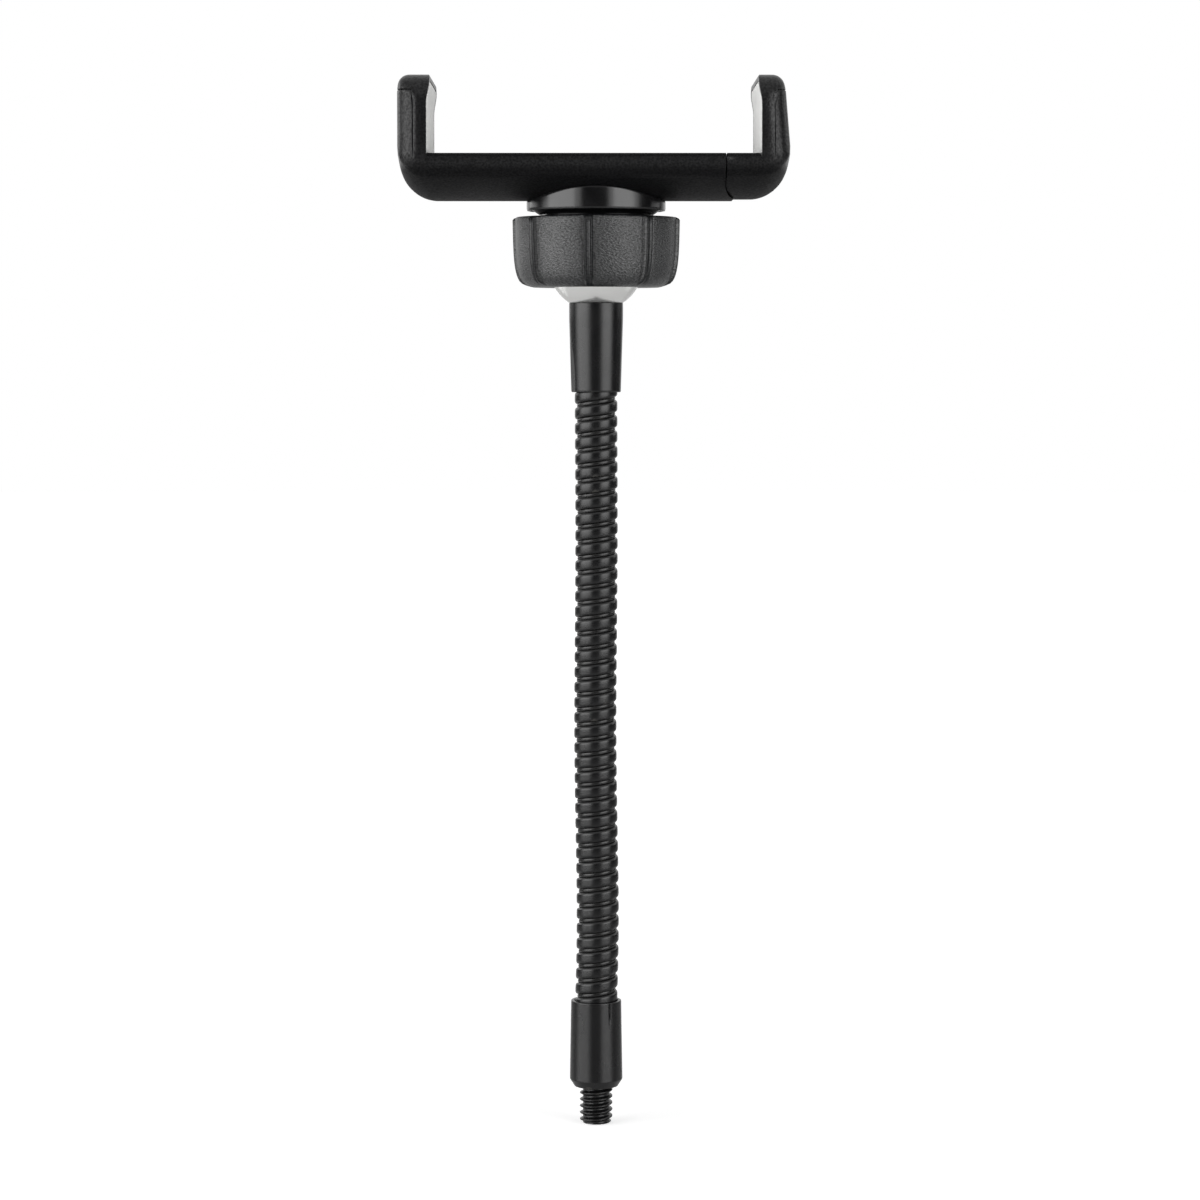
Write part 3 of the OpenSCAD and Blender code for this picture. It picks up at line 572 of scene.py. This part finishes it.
class CLAMP_OT_ball(bpy.types.Operator):
    """Builds the ball and its shank: a circle's arc and a straight line turned about the axis"""
    bl_idname = "clamp.ball"
    bl_label = "Ball"

    def execute(self, context):
        shank, shank_low = 2.8, 140.26
        first = -np.arccos(shank / BALL_RADIUS)
        t = np.linspace(first, np.pi / 2, 72)
        globe = np.stack([BALL_RADIUS * np.cos(t), BALL_Z + BALL_RADIUS * np.sin(t)], axis=-1)
        globe[-1, 0] = 0
        stem = eased_corners([[0, shank_low], [shank, shank_low], globe[0]], [0, 0.3, 0],
                             closed=False)
        grid = revolved(np.concatenate([stem, globe[1:]]), around(128))
        add_piece("ball", [(grid, False, True)], "ball", plated_nickel(), ["ball_stud"])
        return {"FINISHED"}


class CLAMP_OT_nut(bpy.types.Operator):
    """Builds the ribbed nut: its radius is the panel's outline at that height plus a trapezoid
    for each rib, less a channel in the rib's top and a groove beside it, and its bore is turned"""
    bl_idname = "clamp.nut"
    bl_label = "Ribbed nut"

    def execute(self, context):
        sizes = context.scene.clamp_head
        flat, flank, high = (v / MM for v in (sizes.rib_flat, sizes.rib_flank, sizes.rib_height))
        channel, channel_width, groove, groove_width = 0.22, 0.2, 0.25, 0.13
        over_ribs, bore_high = 15.75, 154.05
        top_r = over_ribs - high
        each = 2 * np.pi / sizes.ribs
        edge = flat / 2 + flank
        # Angles from a rib's middle to the middle of the panel, closest over the rib's flank
        near = np.concatenate([np.linspace(0, flat / 2 - 0.12, 6),
                               np.linspace(flat / 2 - 0.05, edge + 0.4, 13)]) / top_r
        panel = np.linspace(near[-1], each / 2, 9)[1:]
        side = np.concatenate([near, panel])
        one = np.concatenate([-side[:0:-1], side[:-1]])
        centres = -np.pi / 2 + sizes.rib_turn + each * np.arange(sizes.ribs)
        a = (centres[:, None] + one).ravel()
        off = np.abs(np.tile(one, sizes.ribs)) * top_r
        rib = ease((edge - off) / flank) - channel * np.exp(-(off / channel_width) ** 2)
        rib -= groove * np.exp(-((off - edge) / groove_width - 1) ** 2)
        # Outline of the panels from the lip up: a round corner, a side that opens a little, and a
        # fine round at the top
        z = np.array([0, 0.12, 0.35, 0.7, 1.15, 1.7, 2.4, 3.2, 4.1, 5.0, 6.2, 8.5, 11, 12.6, 12.9,
                      13.1])
        r = np.array([11.95, 12.5, 13.05, 13.55, 14.0, 14.32, 14.58, 14.78, 14.93, 15.04, 15.14,
                      15.24, 15.3, 15.33, 15.28, 15.05])
        proud = ease(z / 0.8) * (1 - 0.8 * ease((z - 12.7) / 0.4))
        radius = r[:, None] + (top_r - r.max()) + high * proud[:, None] * rib
        outer = np.stack([radius * np.cos(a), radius * np.sin(a),
                          NUT_LOW + z[:, None] + 0 * a], axis=-1)
        lip = np.linspace(NUT_LOW + 0.25, bore_high, 7)
        cup = BALL_RADIUS + TURN_GAP
        inner = np.concatenate([
            [[NUT_BORE + 0.5, NUT_HIGH], [NUT_BORE + 0.1, NUT_HIGH - 0.05], [NUT_BORE, NUT_HIGH - 0.3],
             [NUT_BORE, bore_high]],
            np.stack([np.sqrt(cup ** 2 - (lip - BALL_Z) ** 2), lip], axis=-1)[::-1],
            [[8.1, NUT_LOW + 0.06], [8.35, NUT_LOW]]])
        grid = np.concatenate([outer, revolved(inner, a)])
        nut = add_piece("nut", [(grid, True, True)], "nut", grained_nylon(),
                        ["clamp_nut"], crease=50)
        # What the grain reads: the surface unrolled, and how much of a rib each point is
        p = points_of(nut.data)
        angle = turned(np.arctan2(p[:, 1], p[:, 0]), -np.pi / 2 + sizes.rib_turn)
        panel_r = 15
        unrolled = np.stack([angle * panel_r, p[:, 2], 0 * angle], axis=-1) * MM
        nearest = np.abs((angle + each / 2) % each - each / 2) * top_r
        mask = ease((edge + 0.1 - nearest) / (flank + 0.1))
        nut.data.attributes.new("unrolled", "FLOAT_VECTOR", "POINT").data.foreach_set(
            "vector", unrolled.astype(np.float32).ravel())
        nut.data.attributes.new("rib", "FLOAT", "POINT").data.foreach_set(
            "value", mask.astype(np.float32))
        return {"FINISHED"}


class CLAMP_OT_socket(bpy.types.Operator):
    """Builds the socket: a turned flange whose top is a saddle to the round back, a threaded
    ring and four fingers that grip the ball"""
    bl_idname = "clamp.socket"
    bl_label = "Ball socket"

    def execute(self, context):
        a = around(192)
        cup, collar, pitch, thread_depth = BALL_RADIUS + 0.1, 10.85, 1.4, 0.3
        slot_top, finger_low, half_slot = 162.05, 154.55, 0.75
        lip, wall = FLANGE_LOW - 0.28, FLANGE_RADIUS
        # From the top of the cup down to the slots, round the ring, and up the flange's side
        bowl = np.linspace(BALL_Z + cup, slot_top, 14)
        inside = np.stack([np.sqrt(np.clip(cup ** 2 - (bowl - BALL_Z) ** 2, 0, None)), bowl], axis=-1)
        rise = np.linspace(slot_top, FLANGE_LOW - 1.0, 16)
        ring = np.stack([collar + 0 * rise, rise], axis=-1)
        under = eased_corners([ring[-1], [12.0, FLANGE_LOW - 0.15], [12.15, FLANGE_LOW],
                               [12.45, FLANGE_LOW], [12.6, lip], [12.95, lip], [wall, lip + 0.4],
                               [wall, FLANGE_LOW + 1.0]],
                              [0, 0.08, 0.05, 0.1, 0.1, 0.12, 0.1, 0], closed=False, steps=4)
        base = revolved(np.concatenate([inside, ring, under[1:]]), a)
        # The ring's thread is a saw tooth along the helix
        z = base[..., 2]
        phase = (z / pitch - a / (2 * np.pi)) % 1
        on_ring = (np.hypot(base[..., 0], base[..., 1]) > collar - 0.01) & (z < FLANGE_LOW - 0.9)
        cut = np.where(on_ring, thread_depth * (1 - np.abs(2 * phase - 1)) / collar, 0)
        base[..., :2] *= (1 - cut)[..., None]
        # Saddle: just under the round back, which is a bar along X, and rounded off at the rim
        radii = np.array([wall, wall, wall - 0.06, wall - 0.2, 11, 9, 7.5, 6.12])[:, None]
        sink = np.array([0.6, 0.2, 0.06, 0, 0, 0, 0, 0])[:, None]
        y = radii * np.sin(a)
        saddle = BACK_Z + BACK_RADIUS - np.sqrt(BACK_RADIUS ** 2 - y ** 2) - 0.05 - sink
        top = np.stack([radii * np.cos(a), y, saddle], axis=-1)
        boss = revolved(eased_corners([[6.1, BACK_Z + 0.3], [6.1, BACK_Z + 1.2], [0, BACK_Z + 1.2]],
                                      [0, 0.15, 0], closed=False), a)
        rows = np.concatenate([base, top, boss])
        grids = [(rows, False, True)]
        # Fingers: the ring's wall carried round a quarter turn less a slot, four times
        z = np.linspace(finger_low, slot_top, 9)
        section = np.concatenate([
            np.stack([collar - 0.12 + 0 * z, z], axis=-1),
            np.stack([np.sqrt(cup ** 2 - (z - BALL_Z) ** 2), z], axis=-1)[::-1]])
        gap = half_slot / collar
        for quarter in range(4):
            start = np.pi / 4 + quarter * np.pi / 2
            span = np.linspace(start + gap, start + np.pi / 2 - gap, 25)
            grids.append((capped(revolved(section, span).transpose(1, 0, 2)), False, True))
        add_piece("socket", grids, "clamp", glossy_abs(), ["ball_socket"], crease=40)
        return {"FINISHED"}


def rounded_max(a, b, radius):
    """The larger of two distances, with the edge where the two meet rounded to a radius."""
    p, q = a + radius, b + radius
    return np.hypot(np.maximum(p, 0), np.maximum(q, 0)) + np.minimum(np.maximum(p, q), 0) - radius


def outside(points, side):
    """How far points in mm are outside the rounded form of the left (-1) or right (1) moulding,
    which is the part of the round back, the jaw's outer face, the flat sides and the jaw's top
    that all of them keep."""
    x, y, z = points.T
    up = z - TOP_Z
    lean = 1.2 * np.clip(up / JAW_HEIGHT, 0, 1)
    face = LEFT_X - x if side < 0 else x - RIGHT_X + lean
    slide_lift = 0.3 if side > 0 else 0
    centre = BACK_Z + BACK_RADIUS + slide_lift
    back = np.hypot(y, z - centre) - BACK_RADIUS
    # The corner's radius shrinks towards the flat sides, and that of the upright edges is largest
    # above the body and smallest at the cap
    corner = 7 - 2 * (y / HALF_DEPTH) ** 2
    upright = 2.6 + 1.6 * ease((up + 2) / 4) - 1.9 * ease((up - 9) / 5)
    flank = rounded_max(np.abs(y) - HALF_DEPTH, up - JAW_HEIGHT, 5)
    return rounded_max(flank, rounded_max(face, back, corner), upright)


def drawn_in(points, side):
    """Points in mm moved to the rounded form where they are outside it, in three steps along
    the slope of the distance to it."""
    p, step = points.copy(), 1e-3
    for _ in range(3):
        far = np.maximum(outside(p, side), 0)[:, None]
        slope = np.stack([outside(p + d, side) - outside(p - d, side) for d in np.eye(3) * step],
                         axis=-1) / (2 * step)
        p -= far * slope / np.maximum((slope ** 2).sum(axis=1, keepdims=True), 0.2)
    return p


def hook(v):
    """How far a jaw's hook stands past its face at height v over the body's top."""
    return 0.55 * ease((v - 9) / 4.1)


def jaw_refined(points, side, lift):
    """Points in mm of a jaw, with the seam under its cap raised by a lift while the top stays,
    a thin groove along the parting line of its two halves, and a smaller hook."""
    p = points.copy()
    wall = LEFT_X if side < 0 else RIGHT_X
    u, v = (p[:, 0] - wall) * -side, p[:, 2] - TOP_Z
    seam, groove_depth, groove_width = 9.9, 0.35, 0.15
    parting = 3.0 - 0.35 * np.clip((v - 7.7) / 2.2, 0, 1)
    on_side = (v > -1) & (v < seam - 0.1) & (np.abs(p[:, 1]) > HALF_DEPTH - 0.4)
    groove = np.clip(1 - np.abs(u - parting) / groove_width, 0, 1) * on_side
    p[:, 1] -= groove_depth * groove * np.sign(p[:, 1])
    rise = np.where(v < seam, ease((v - seam + 4.5) / 4.5),
                    np.clip((JAW_HEIGHT - v) / (JAW_HEIGHT - seam), 0, 1))
    p[:, 2] += lift * rise * np.clip((3.9 - u) / 0.8, 0, 1)
    cad_hook = 0.8 * ease((v - 7.5) / 5.6)
    less = cad_hook - hook(v)
    p[:, 0] += side * less * np.clip(u - JAW_THICK + 1, 0, 1) * (v > 6)
    return p


class CLAMP_OT_mouldings(bpy.types.Operator):
    """Builds the moulded shells: each is the CAD node's own surface, merged and cut finer, with
    its outer edges drawn in to one soft rounded form"""
    bl_idname = "clamp.mouldings"
    bl_label = "Body and jaws"

    def merged_copy(self, node):
        """A copy of a node whose points are merged, as a bmesh."""
        shape = bmesh.new()
        shape.from_mesh(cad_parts[node].data)
        bmesh.ops.remove_doubles(shape, verts=shape.verts, dist=1e-6)
        bmesh.ops.dissolve_degenerate(shape, edges=shape.edges, dist=1e-6)
        return shape

    def finish(self, shape, node, body, crease):
        """The piece of a finished shape, which stands for its node."""
        mesh = bpy.data.meshes.new(node + "_moulding")
        shape.to_mesh(mesh)
        shape.free()
        mesh.shade_smooth()
        mesh.set_sharp_from_angle(angle=np.radians(crease))
        mesh.materials.append(textured_abs())
        piece = bpy.data.objects.new(mesh.name, mesh)
        bpy.context.scene.collection.objects.link(piece)
        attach(piece, body)
        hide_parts(node)
        return piece

    def execute(self, context):
        # Where the shells are cut finer, closest where the form turns: distances from the middle,
        # from the jaw's outer wall and heights
        width = np.array([17.8, 17.5, 17.1, 16.6, 16, 15.4, 14.5, 13, 11, 8, 5, 2])
        inward = np.array([0.15, 0.35, 0.65, 1, 1.4, 1.9, 2.4, 2.8, 3.2, 3.7, 4.3, 5.2, 6.5, 8, 10])
        heights = np.concatenate([
            BACK_Z + np.array([0.3, 0.8, 1.4, 2, 2.6, 3.2, 3.8, 4.4, 5, 5.4, 5.8, 6.3, 7, 8, 9.5, 11]),
            TOP_Z + np.array([8, 9.4, 10.5, 11.2, 11.9, 12.5, 13, 13.4, 13.8, 14.1, 14.35])])
        for node, body, side in (("rear_shell", "clamp", -1), ("fixed_jaw_liner", "clamp", -1),
                                 ("sliding_jaw", "slide", 1), ("sliding_jaw_liner", "slide", 1)):
            shape = self.merged_copy(node)
            wall = LEFT_X if side < 0 else RIGHT_X
            cuts = [((x, 0, 0), (1, 0, 0)) for x in wall - side * inward]
            cuts += [((0, y, 0), (0, 1, 0)) for y in (*width, *-width)]
            cuts += [((0, 0, z), (0, 0, 1)) for z in heights]
            for at, normal in cuts:
                everything = shape.verts[:] + shape.edges[:] + shape.faces[:]
                bmesh.ops.bisect_plane(shape, geom=everything, dist=1e-6, plane_no=normal,
                                       plane_co=[v * MM for v in at])
            piece = self.finish(shape, node, body, 30)
            # The shells' seam is raised a little less than the liners', which leaves a dark gap
            seam_gap = 0 if "liner" in node else 0.2
            lift = context.scene.clamp_head.seam_lift / MM - seam_gap
            placed = drawn_in(jaw_refined(points_of(piece.data), side, lift), side) * MM
            piece.data.vertices.foreach_set("co", placed.ravel())
            # The back, whose sheen is cut down as painted shade, ends 6.6 mm up and fades over 1.8 mm
            back = ease((BACK_Z + 6.6 - placed[:, 2] / MM) / 1.8)
            piece.data.attributes.new("back", "FLOAT", "POINT").data.foreach_set(
                "value", back.astype(np.float32))
            piece.data.set_sharp_from_angle(angle=np.radians(30))
            piece.data.update()
        shape = self.merged_copy("front_cover")
        bmesh.ops.dissolve_limit(shape, verts=shape.verts, edges=shape.edges,
                                 angle_limit=np.radians(0.6))
        cover = self.finish(shape, "front_cover", "clamp", 30)
        bevel = cover.modifiers.new("moulded_edge", "BEVEL")
        bevel.width, bevel.segments = context.scene.clamp_head.moulded_edge, 2
        bevel.limit_method, bevel.angle_limit = "ANGLE", np.radians(30)
        bevel.harden_normals = True
        return {"FINISHED"}


class CLAMP_OT_pads(bpy.types.Operator):
    """Builds the pads: sections of a crowned slab, carried up the jaw's face to its hook"""
    bl_idname = "clamp.pads"
    bl_label = "Pads"

    def execute(self, context):
        crown = context.scene.clamp_head.pad_crown / MM
        # Ends over the body's top, half width, radius of the upper corners and where they start,
        # how far the face stands past the jaw's, and the rounding of the rim
        low, high, half, corner, corner_low, proud, soft = 0.3, 13.4, 16.5, 5.0, 8.75, 0.2, 0.4
        rim = np.array([0, 0.03, 0.1, 0.22, soft])
        v = np.concatenate([low + rim, np.linspace(low + 0.8, high - 0.8, 22), high - rim[::-1]])
        # Half width of the pad at each height, and how far its face stands from the jaw's back
        wide = np.where(v < corner_low, half, half - corner + np.sqrt(
            np.clip(corner ** 2 - (v - corner_low) ** 2, 0, None)))
        face = JAW_THICK + hook(v) + proud
        s = np.concatenate([rim, np.linspace(1.2, 31.8, 21), 2 * half - rim[::-1]]) / half - 1
        y = s * wide[:, None]
        # How far the rounded rim drops below the face, at the ends and along the sides
        inset, aside = np.minimum(v - low, high - v)[:, None], wide[:, None] - np.abs(y)
        ends, sides = (soft - np.sqrt(np.clip(soft ** 2 - (soft - np.minimum(d, soft)) ** 2, 0, None))
                       for d in (inset, aside))
        swell = crown * (1 - s ** 4) * (1 - ((v[:, None] - 6.85) / 6.6) ** 4) - crown
        front = face[:, None] + swell - np.maximum(sides, ends)
        back = np.full_like(front, PAD_FLOOR)
        loop_u = np.concatenate([front, back[:, ::-1]], axis=1)
        loop_y = np.concatenate([y, y[:, ::-1]], axis=1)
        grid = np.stack([loop_u, loop_y, TOP_Z + v[:, None] + 0 * loop_u], axis=-1)
        flat_end = grid[[0, -1]].copy()
        flat_end[..., 0] = PAD_FLOOR
        grid = np.concatenate([flat_end[:1], grid, flat_end[1:]])
        for name, node, body, side, wall in (("fixed_pad", "fixed_jaw_pad", "clamp", 1, LEFT_X),
                                             ("sliding_pad", "sliding_jaw_pad", "slide", -1, RIGHT_X)):
            placed = grid * (side, 1, 1) + (wall, 0, 0)
            piece = add_piece(name, [(placed, False, True)], body,
                              moulded_silicone(), [node], crease=60)
        return {"FINISHED"}


class CLAMP_OT_springs(bpy.types.Operator):
    """Builds the two springs: a round wire carried along a helix about the X direction, whose
    pitch varies by a tenth, with the wire's ends closed"""
    bl_idname = "clamp.springs"
    bl_label = "Springs"

    def execute(self, context):
        turns = context.scene.clamp_head.spring_turns
        # Ends along X, the coil's and the wire's radius, and the height of the axes
        first, last, ring, wire, z = -23.65, 20.4, 1.4, 0.3, 172.55
        a = np.linspace(0, 2 * np.pi * turns, turns * 32)[:, None]
        t = a / a[-1]
        x = first + (last - first) * (t + 0.008 * np.sin(4 * np.pi * t))
        around_wire = np.linspace(0, 2 * np.pi, 11)[:-1]
        r = ring + wire * np.cos(around_wire)
        for name, y in (("near_spring", -5.0), ("far_spring", 5.0)):
            grid = np.stack([x + wire * np.sin(around_wire), y + r * np.cos(a),
                             z + r * np.sin(a)], axis=-1)
            piece = add_piece(name + "_wire", [(capped(grid), False, True)], None,
                              drawn_spring_steel(), [name])
            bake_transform(piece)
        return {"FINISHED"}


class CLAMP_OT_screws(bpy.types.Operator):
    """Gives the screws, which keep their CAD solids, their plated finish"""
    bl_idname = "clamp.screws"
    bl_label = "Screws"

    def execute(self, context):
        for node in ("socket_screws", "cover_screws", "fixed_liner_screws", "sliding_liner_screws"):
            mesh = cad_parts[node].data
            mesh.materials.clear()
            mesh.materials.append(zinc_plated_steel())
        return {"FINISHED"}


class CLAMP_OT_studio(bpy.types.Operator):
    """Builds the pale floor, the room, the soft boxes and the camera"""
    bl_idname = "clamp.studio"
    bl_label = "Studio"

    def floor(self):
        """A wide disc just under the stud, painted pale, that whitens to the camera with its
        distance from the stud."""
        material, tree, out = new_material("pale_floor_paint")
        path = add_node(tree, "ShaderNodeLightPath").outputs
        mirror = add_node(tree, "ShaderNodeMath", {0: path["Is Glossy Ray"],
                                                   1: path["Is Transmission Ray"]},
                          operation="MAXIMUM").outputs[0]
        place = add_node(tree, "ShaderNodeTexCoord").outputs["Object"]
        away = add_node(tree, "ShaderNodeVectorMath", {0: place}, operation="LENGTH").outputs["Value"]
        shown = add_node(tree, "ShaderNodeMath", {0: between(tree, away, 0.62, 1.0, 0.1, 0.9),
                                                  1: path["Is Camera Ray"]},
                         operation="MULTIPLY").outputs[0]
        glow = add_node(tree, "ShaderNodeMath", {0: mirror, 1: 0.06, 2: shown},
                        operation="MULTIPLY_ADD").outputs[0]
        # To the reflections in the lower parts, the floor is a glossy one that mirrors the lamps
        principled(tree, out, {"Base Color": linear("#f0f0f0"), "Roughness": 0.9,
                               "Specular IOR Level": 0.0, "Coat Weight": mirror,
                               "Coat Roughness": 0.1, "Coat IOR": 1.8,
                               "Emission Color": linear("#ffffff"), "Emission Strength": glow})
        radii = np.array([0, 60, 150, 400, 1200, 3000])
        disc = revolved(np.stack([radii, STUD_TIP - 0.01 + 0 * radii], axis=-1), around(64))
        add_piece("floor", [(disc, False, True)], None, material)

    def room(self, scene, fill):
        """A world that is white to the camera, and that reflections see white behind and
        overhead and dark in front."""
        world = bpy.data.worlds.new("studio_room")
        world.use_nodes = True
        tree = world.node_tree
        tree.nodes.clear()
        path = add_node(tree, "ShaderNodeLightPath").outputs
        mirror = add_node(tree, "ShaderNodeMath", {0: path["Is Glossy Ray"],
                                                   1: path["Is Transmission Ray"]},
                          operation="MAXIMUM").outputs[0]
        way = add_node(tree, "ShaderNodeTexCoord").outputs["Generated"]
        parts = add_node(tree, "ShaderNodeSeparateXYZ", {0: way}).outputs
        behind = between(tree, parts["Y"], 0.0, 1.0, 0.7, 0.92)
        overhead = between(tree, parts["Z"], 0.0, 1.0, 0.2, 0.6)
        front = mixed(tree, overhead, linear("#161616"), linear("#ffffff"))
        reflected = mixed(tree, behind, front, linear("#ffffff"))
        above = between(tree, parts["Z"], 0.7 * fill, 1.5 * fill, -0.2, 1.0)
        lit = add_node(tree, "ShaderNodeCombineColor", {0: above, 1: above, 2: above}).outputs[0]
        unseen = mixed(tree, mirror, lit, reflected)
        shown = mixed(tree, path["Is Camera Ray"], unseen, linear("#ffffff"))
        light = add_node(tree, "ShaderNodeBackground", {"Color": shown, "Strength": 1.0})
        out = add_node(tree, "ShaderNodeOutputWorld")
        tree.links.new(light.outputs[0], out.inputs["Surface"])
        scene.world = world

    def soft_box(self, scene, name, bearing, width, low, high, level, distance):
        """A rectangular lamp at a bearing from the front, facing the clamp."""
        lamp = bpy.data.lights.new(name, "AREA")
        lamp.shape, lamp.size, lamp.size_y = "RECTANGLE", width, high - low
        lamp.energy = level * lamp.size * lamp.size_y
        box = bpy.data.objects.new(name, lamp)
        turn = np.radians(bearing)
        box.location = (distance * np.sin(turn), -distance * np.cos(turn), (low + high) / 2)
        box.rotation_euler = (np.pi / 2, 0, turn)
        scene.collection.objects.link(box)

    def execute(self, context):
        scene, studio = context.scene, context.scene.clamp_studio
        scene.view_settings.view_transform = "Standard"
        self.floor()
        self.room(scene, studio.fill)
        # Each soft box is brighter in its middle, so two lamps overlap there; two more stand behind.
        # Each has its bearing in degrees, its width and lower edge in metres and its share of light
        lamp_top = 0.52
        for name, bearing, width, low, share in (
                ("left_wide", -62, 1.34, 0.03, 0.45), ("left_middle", -61, 0.85, 0.03, 0.55),
                ("right_wide", 47.5, 0.93, 0.03, 0.45), ("right_middle", 47, 0.6, 0.03, 0.5),
                ("left_rim", -127, 0.5, 0.18, 0.45), ("right_rim", 117, 0.4, 0.18, 0.3)):
            self.soft_box(scene, name, bearing, width, low, lamp_top, share * studio.lamp_level,
                          studio.lamp_distance)
        lens = bpy.data.cameras.new("photo_camera")
        lens.sensor_width = 36
        lens.lens = studio.focal_pixels / 1200 * lens.sensor_width
        lens.clip_start, lens.clip_end = 0.05, 20
        camera = bpy.data.objects.new("photo_camera", lens)
        camera.location = (studio.camera_aside, -studio.camera_distance, studio.camera_height)
        camera.rotation_euler = (np.pi / 2 - studio.camera_pitch, 0, -studio.camera_yaw)
        scene.collection.objects.link(camera)
        scene.camera = camera
        return {"FINISHED"}


BUILDERS = (CLAMP_OT_stud, CLAMP_OT_ferrules, CLAMP_OT_neck, CLAMP_OT_ball, CLAMP_OT_nut,
            CLAMP_OT_socket, CLAMP_OT_mouldings, CLAMP_OT_pads, CLAMP_OT_springs, CLAMP_OT_screws,
            CLAMP_OT_studio)


class CLAMP_PT_panel(bpy.types.Panel):
    """Lists what can be built and its settings"""
    bl_idname = "CLAMP_PT_panel"
    bl_label = "Gooseneck clamp"
    bl_space_type = "VIEW_3D"
    bl_region_type = "UI"
    bl_category = "Clamp"

    def draw(self, context):
        column = self.layout.column()
        for builder in BUILDERS:
            column.operator(builder.bl_idname, text=builder.bl_label)
        for group in GROUPS:
            settings = getattr(context.scene, group)
            for key in settings.bl_rna.properties.keys():
                if key not in ("rna_type", "name"):
                    column.prop(settings, key)


GROUPS = {"clamp_neck": NeckSizes, "clamp_head": HeadSizes, "clamp_finishes": Finishes,
          "clamp_studio": StudioSettings}


def register():
    for kind in (*GROUPS.values(), *BUILDERS, CLAMP_PT_panel):
        bpy.utils.register_class(kind)
    for group, kind in GROUPS.items():
        setattr(bpy.types.Scene, group, bpy.props.PointerProperty(type=kind))


def unregister():
    for group in GROUPS:
        delattr(bpy.types.Scene, group)
    for kind in (CLAMP_PT_panel, *reversed(BUILDERS), *reversed(GROUPS.values())):
        bpy.utils.unregister_class(kind)


def main():
    """Builds every piece and the studio."""
    register()
    bpy.ops.clamp.stud()
    bpy.ops.clamp.ferrules()
    bpy.ops.clamp.neck()
    bpy.ops.clamp.ball()
    bpy.ops.clamp.nut()
    bpy.ops.clamp.socket()
    bpy.ops.clamp.mouldings()
    bpy.ops.clamp.pads()
    bpy.ops.clamp.springs()
    bpy.ops.clamp.screws()
    bpy.ops.clamp.studio()


if __name__ == "__main__":
    main()
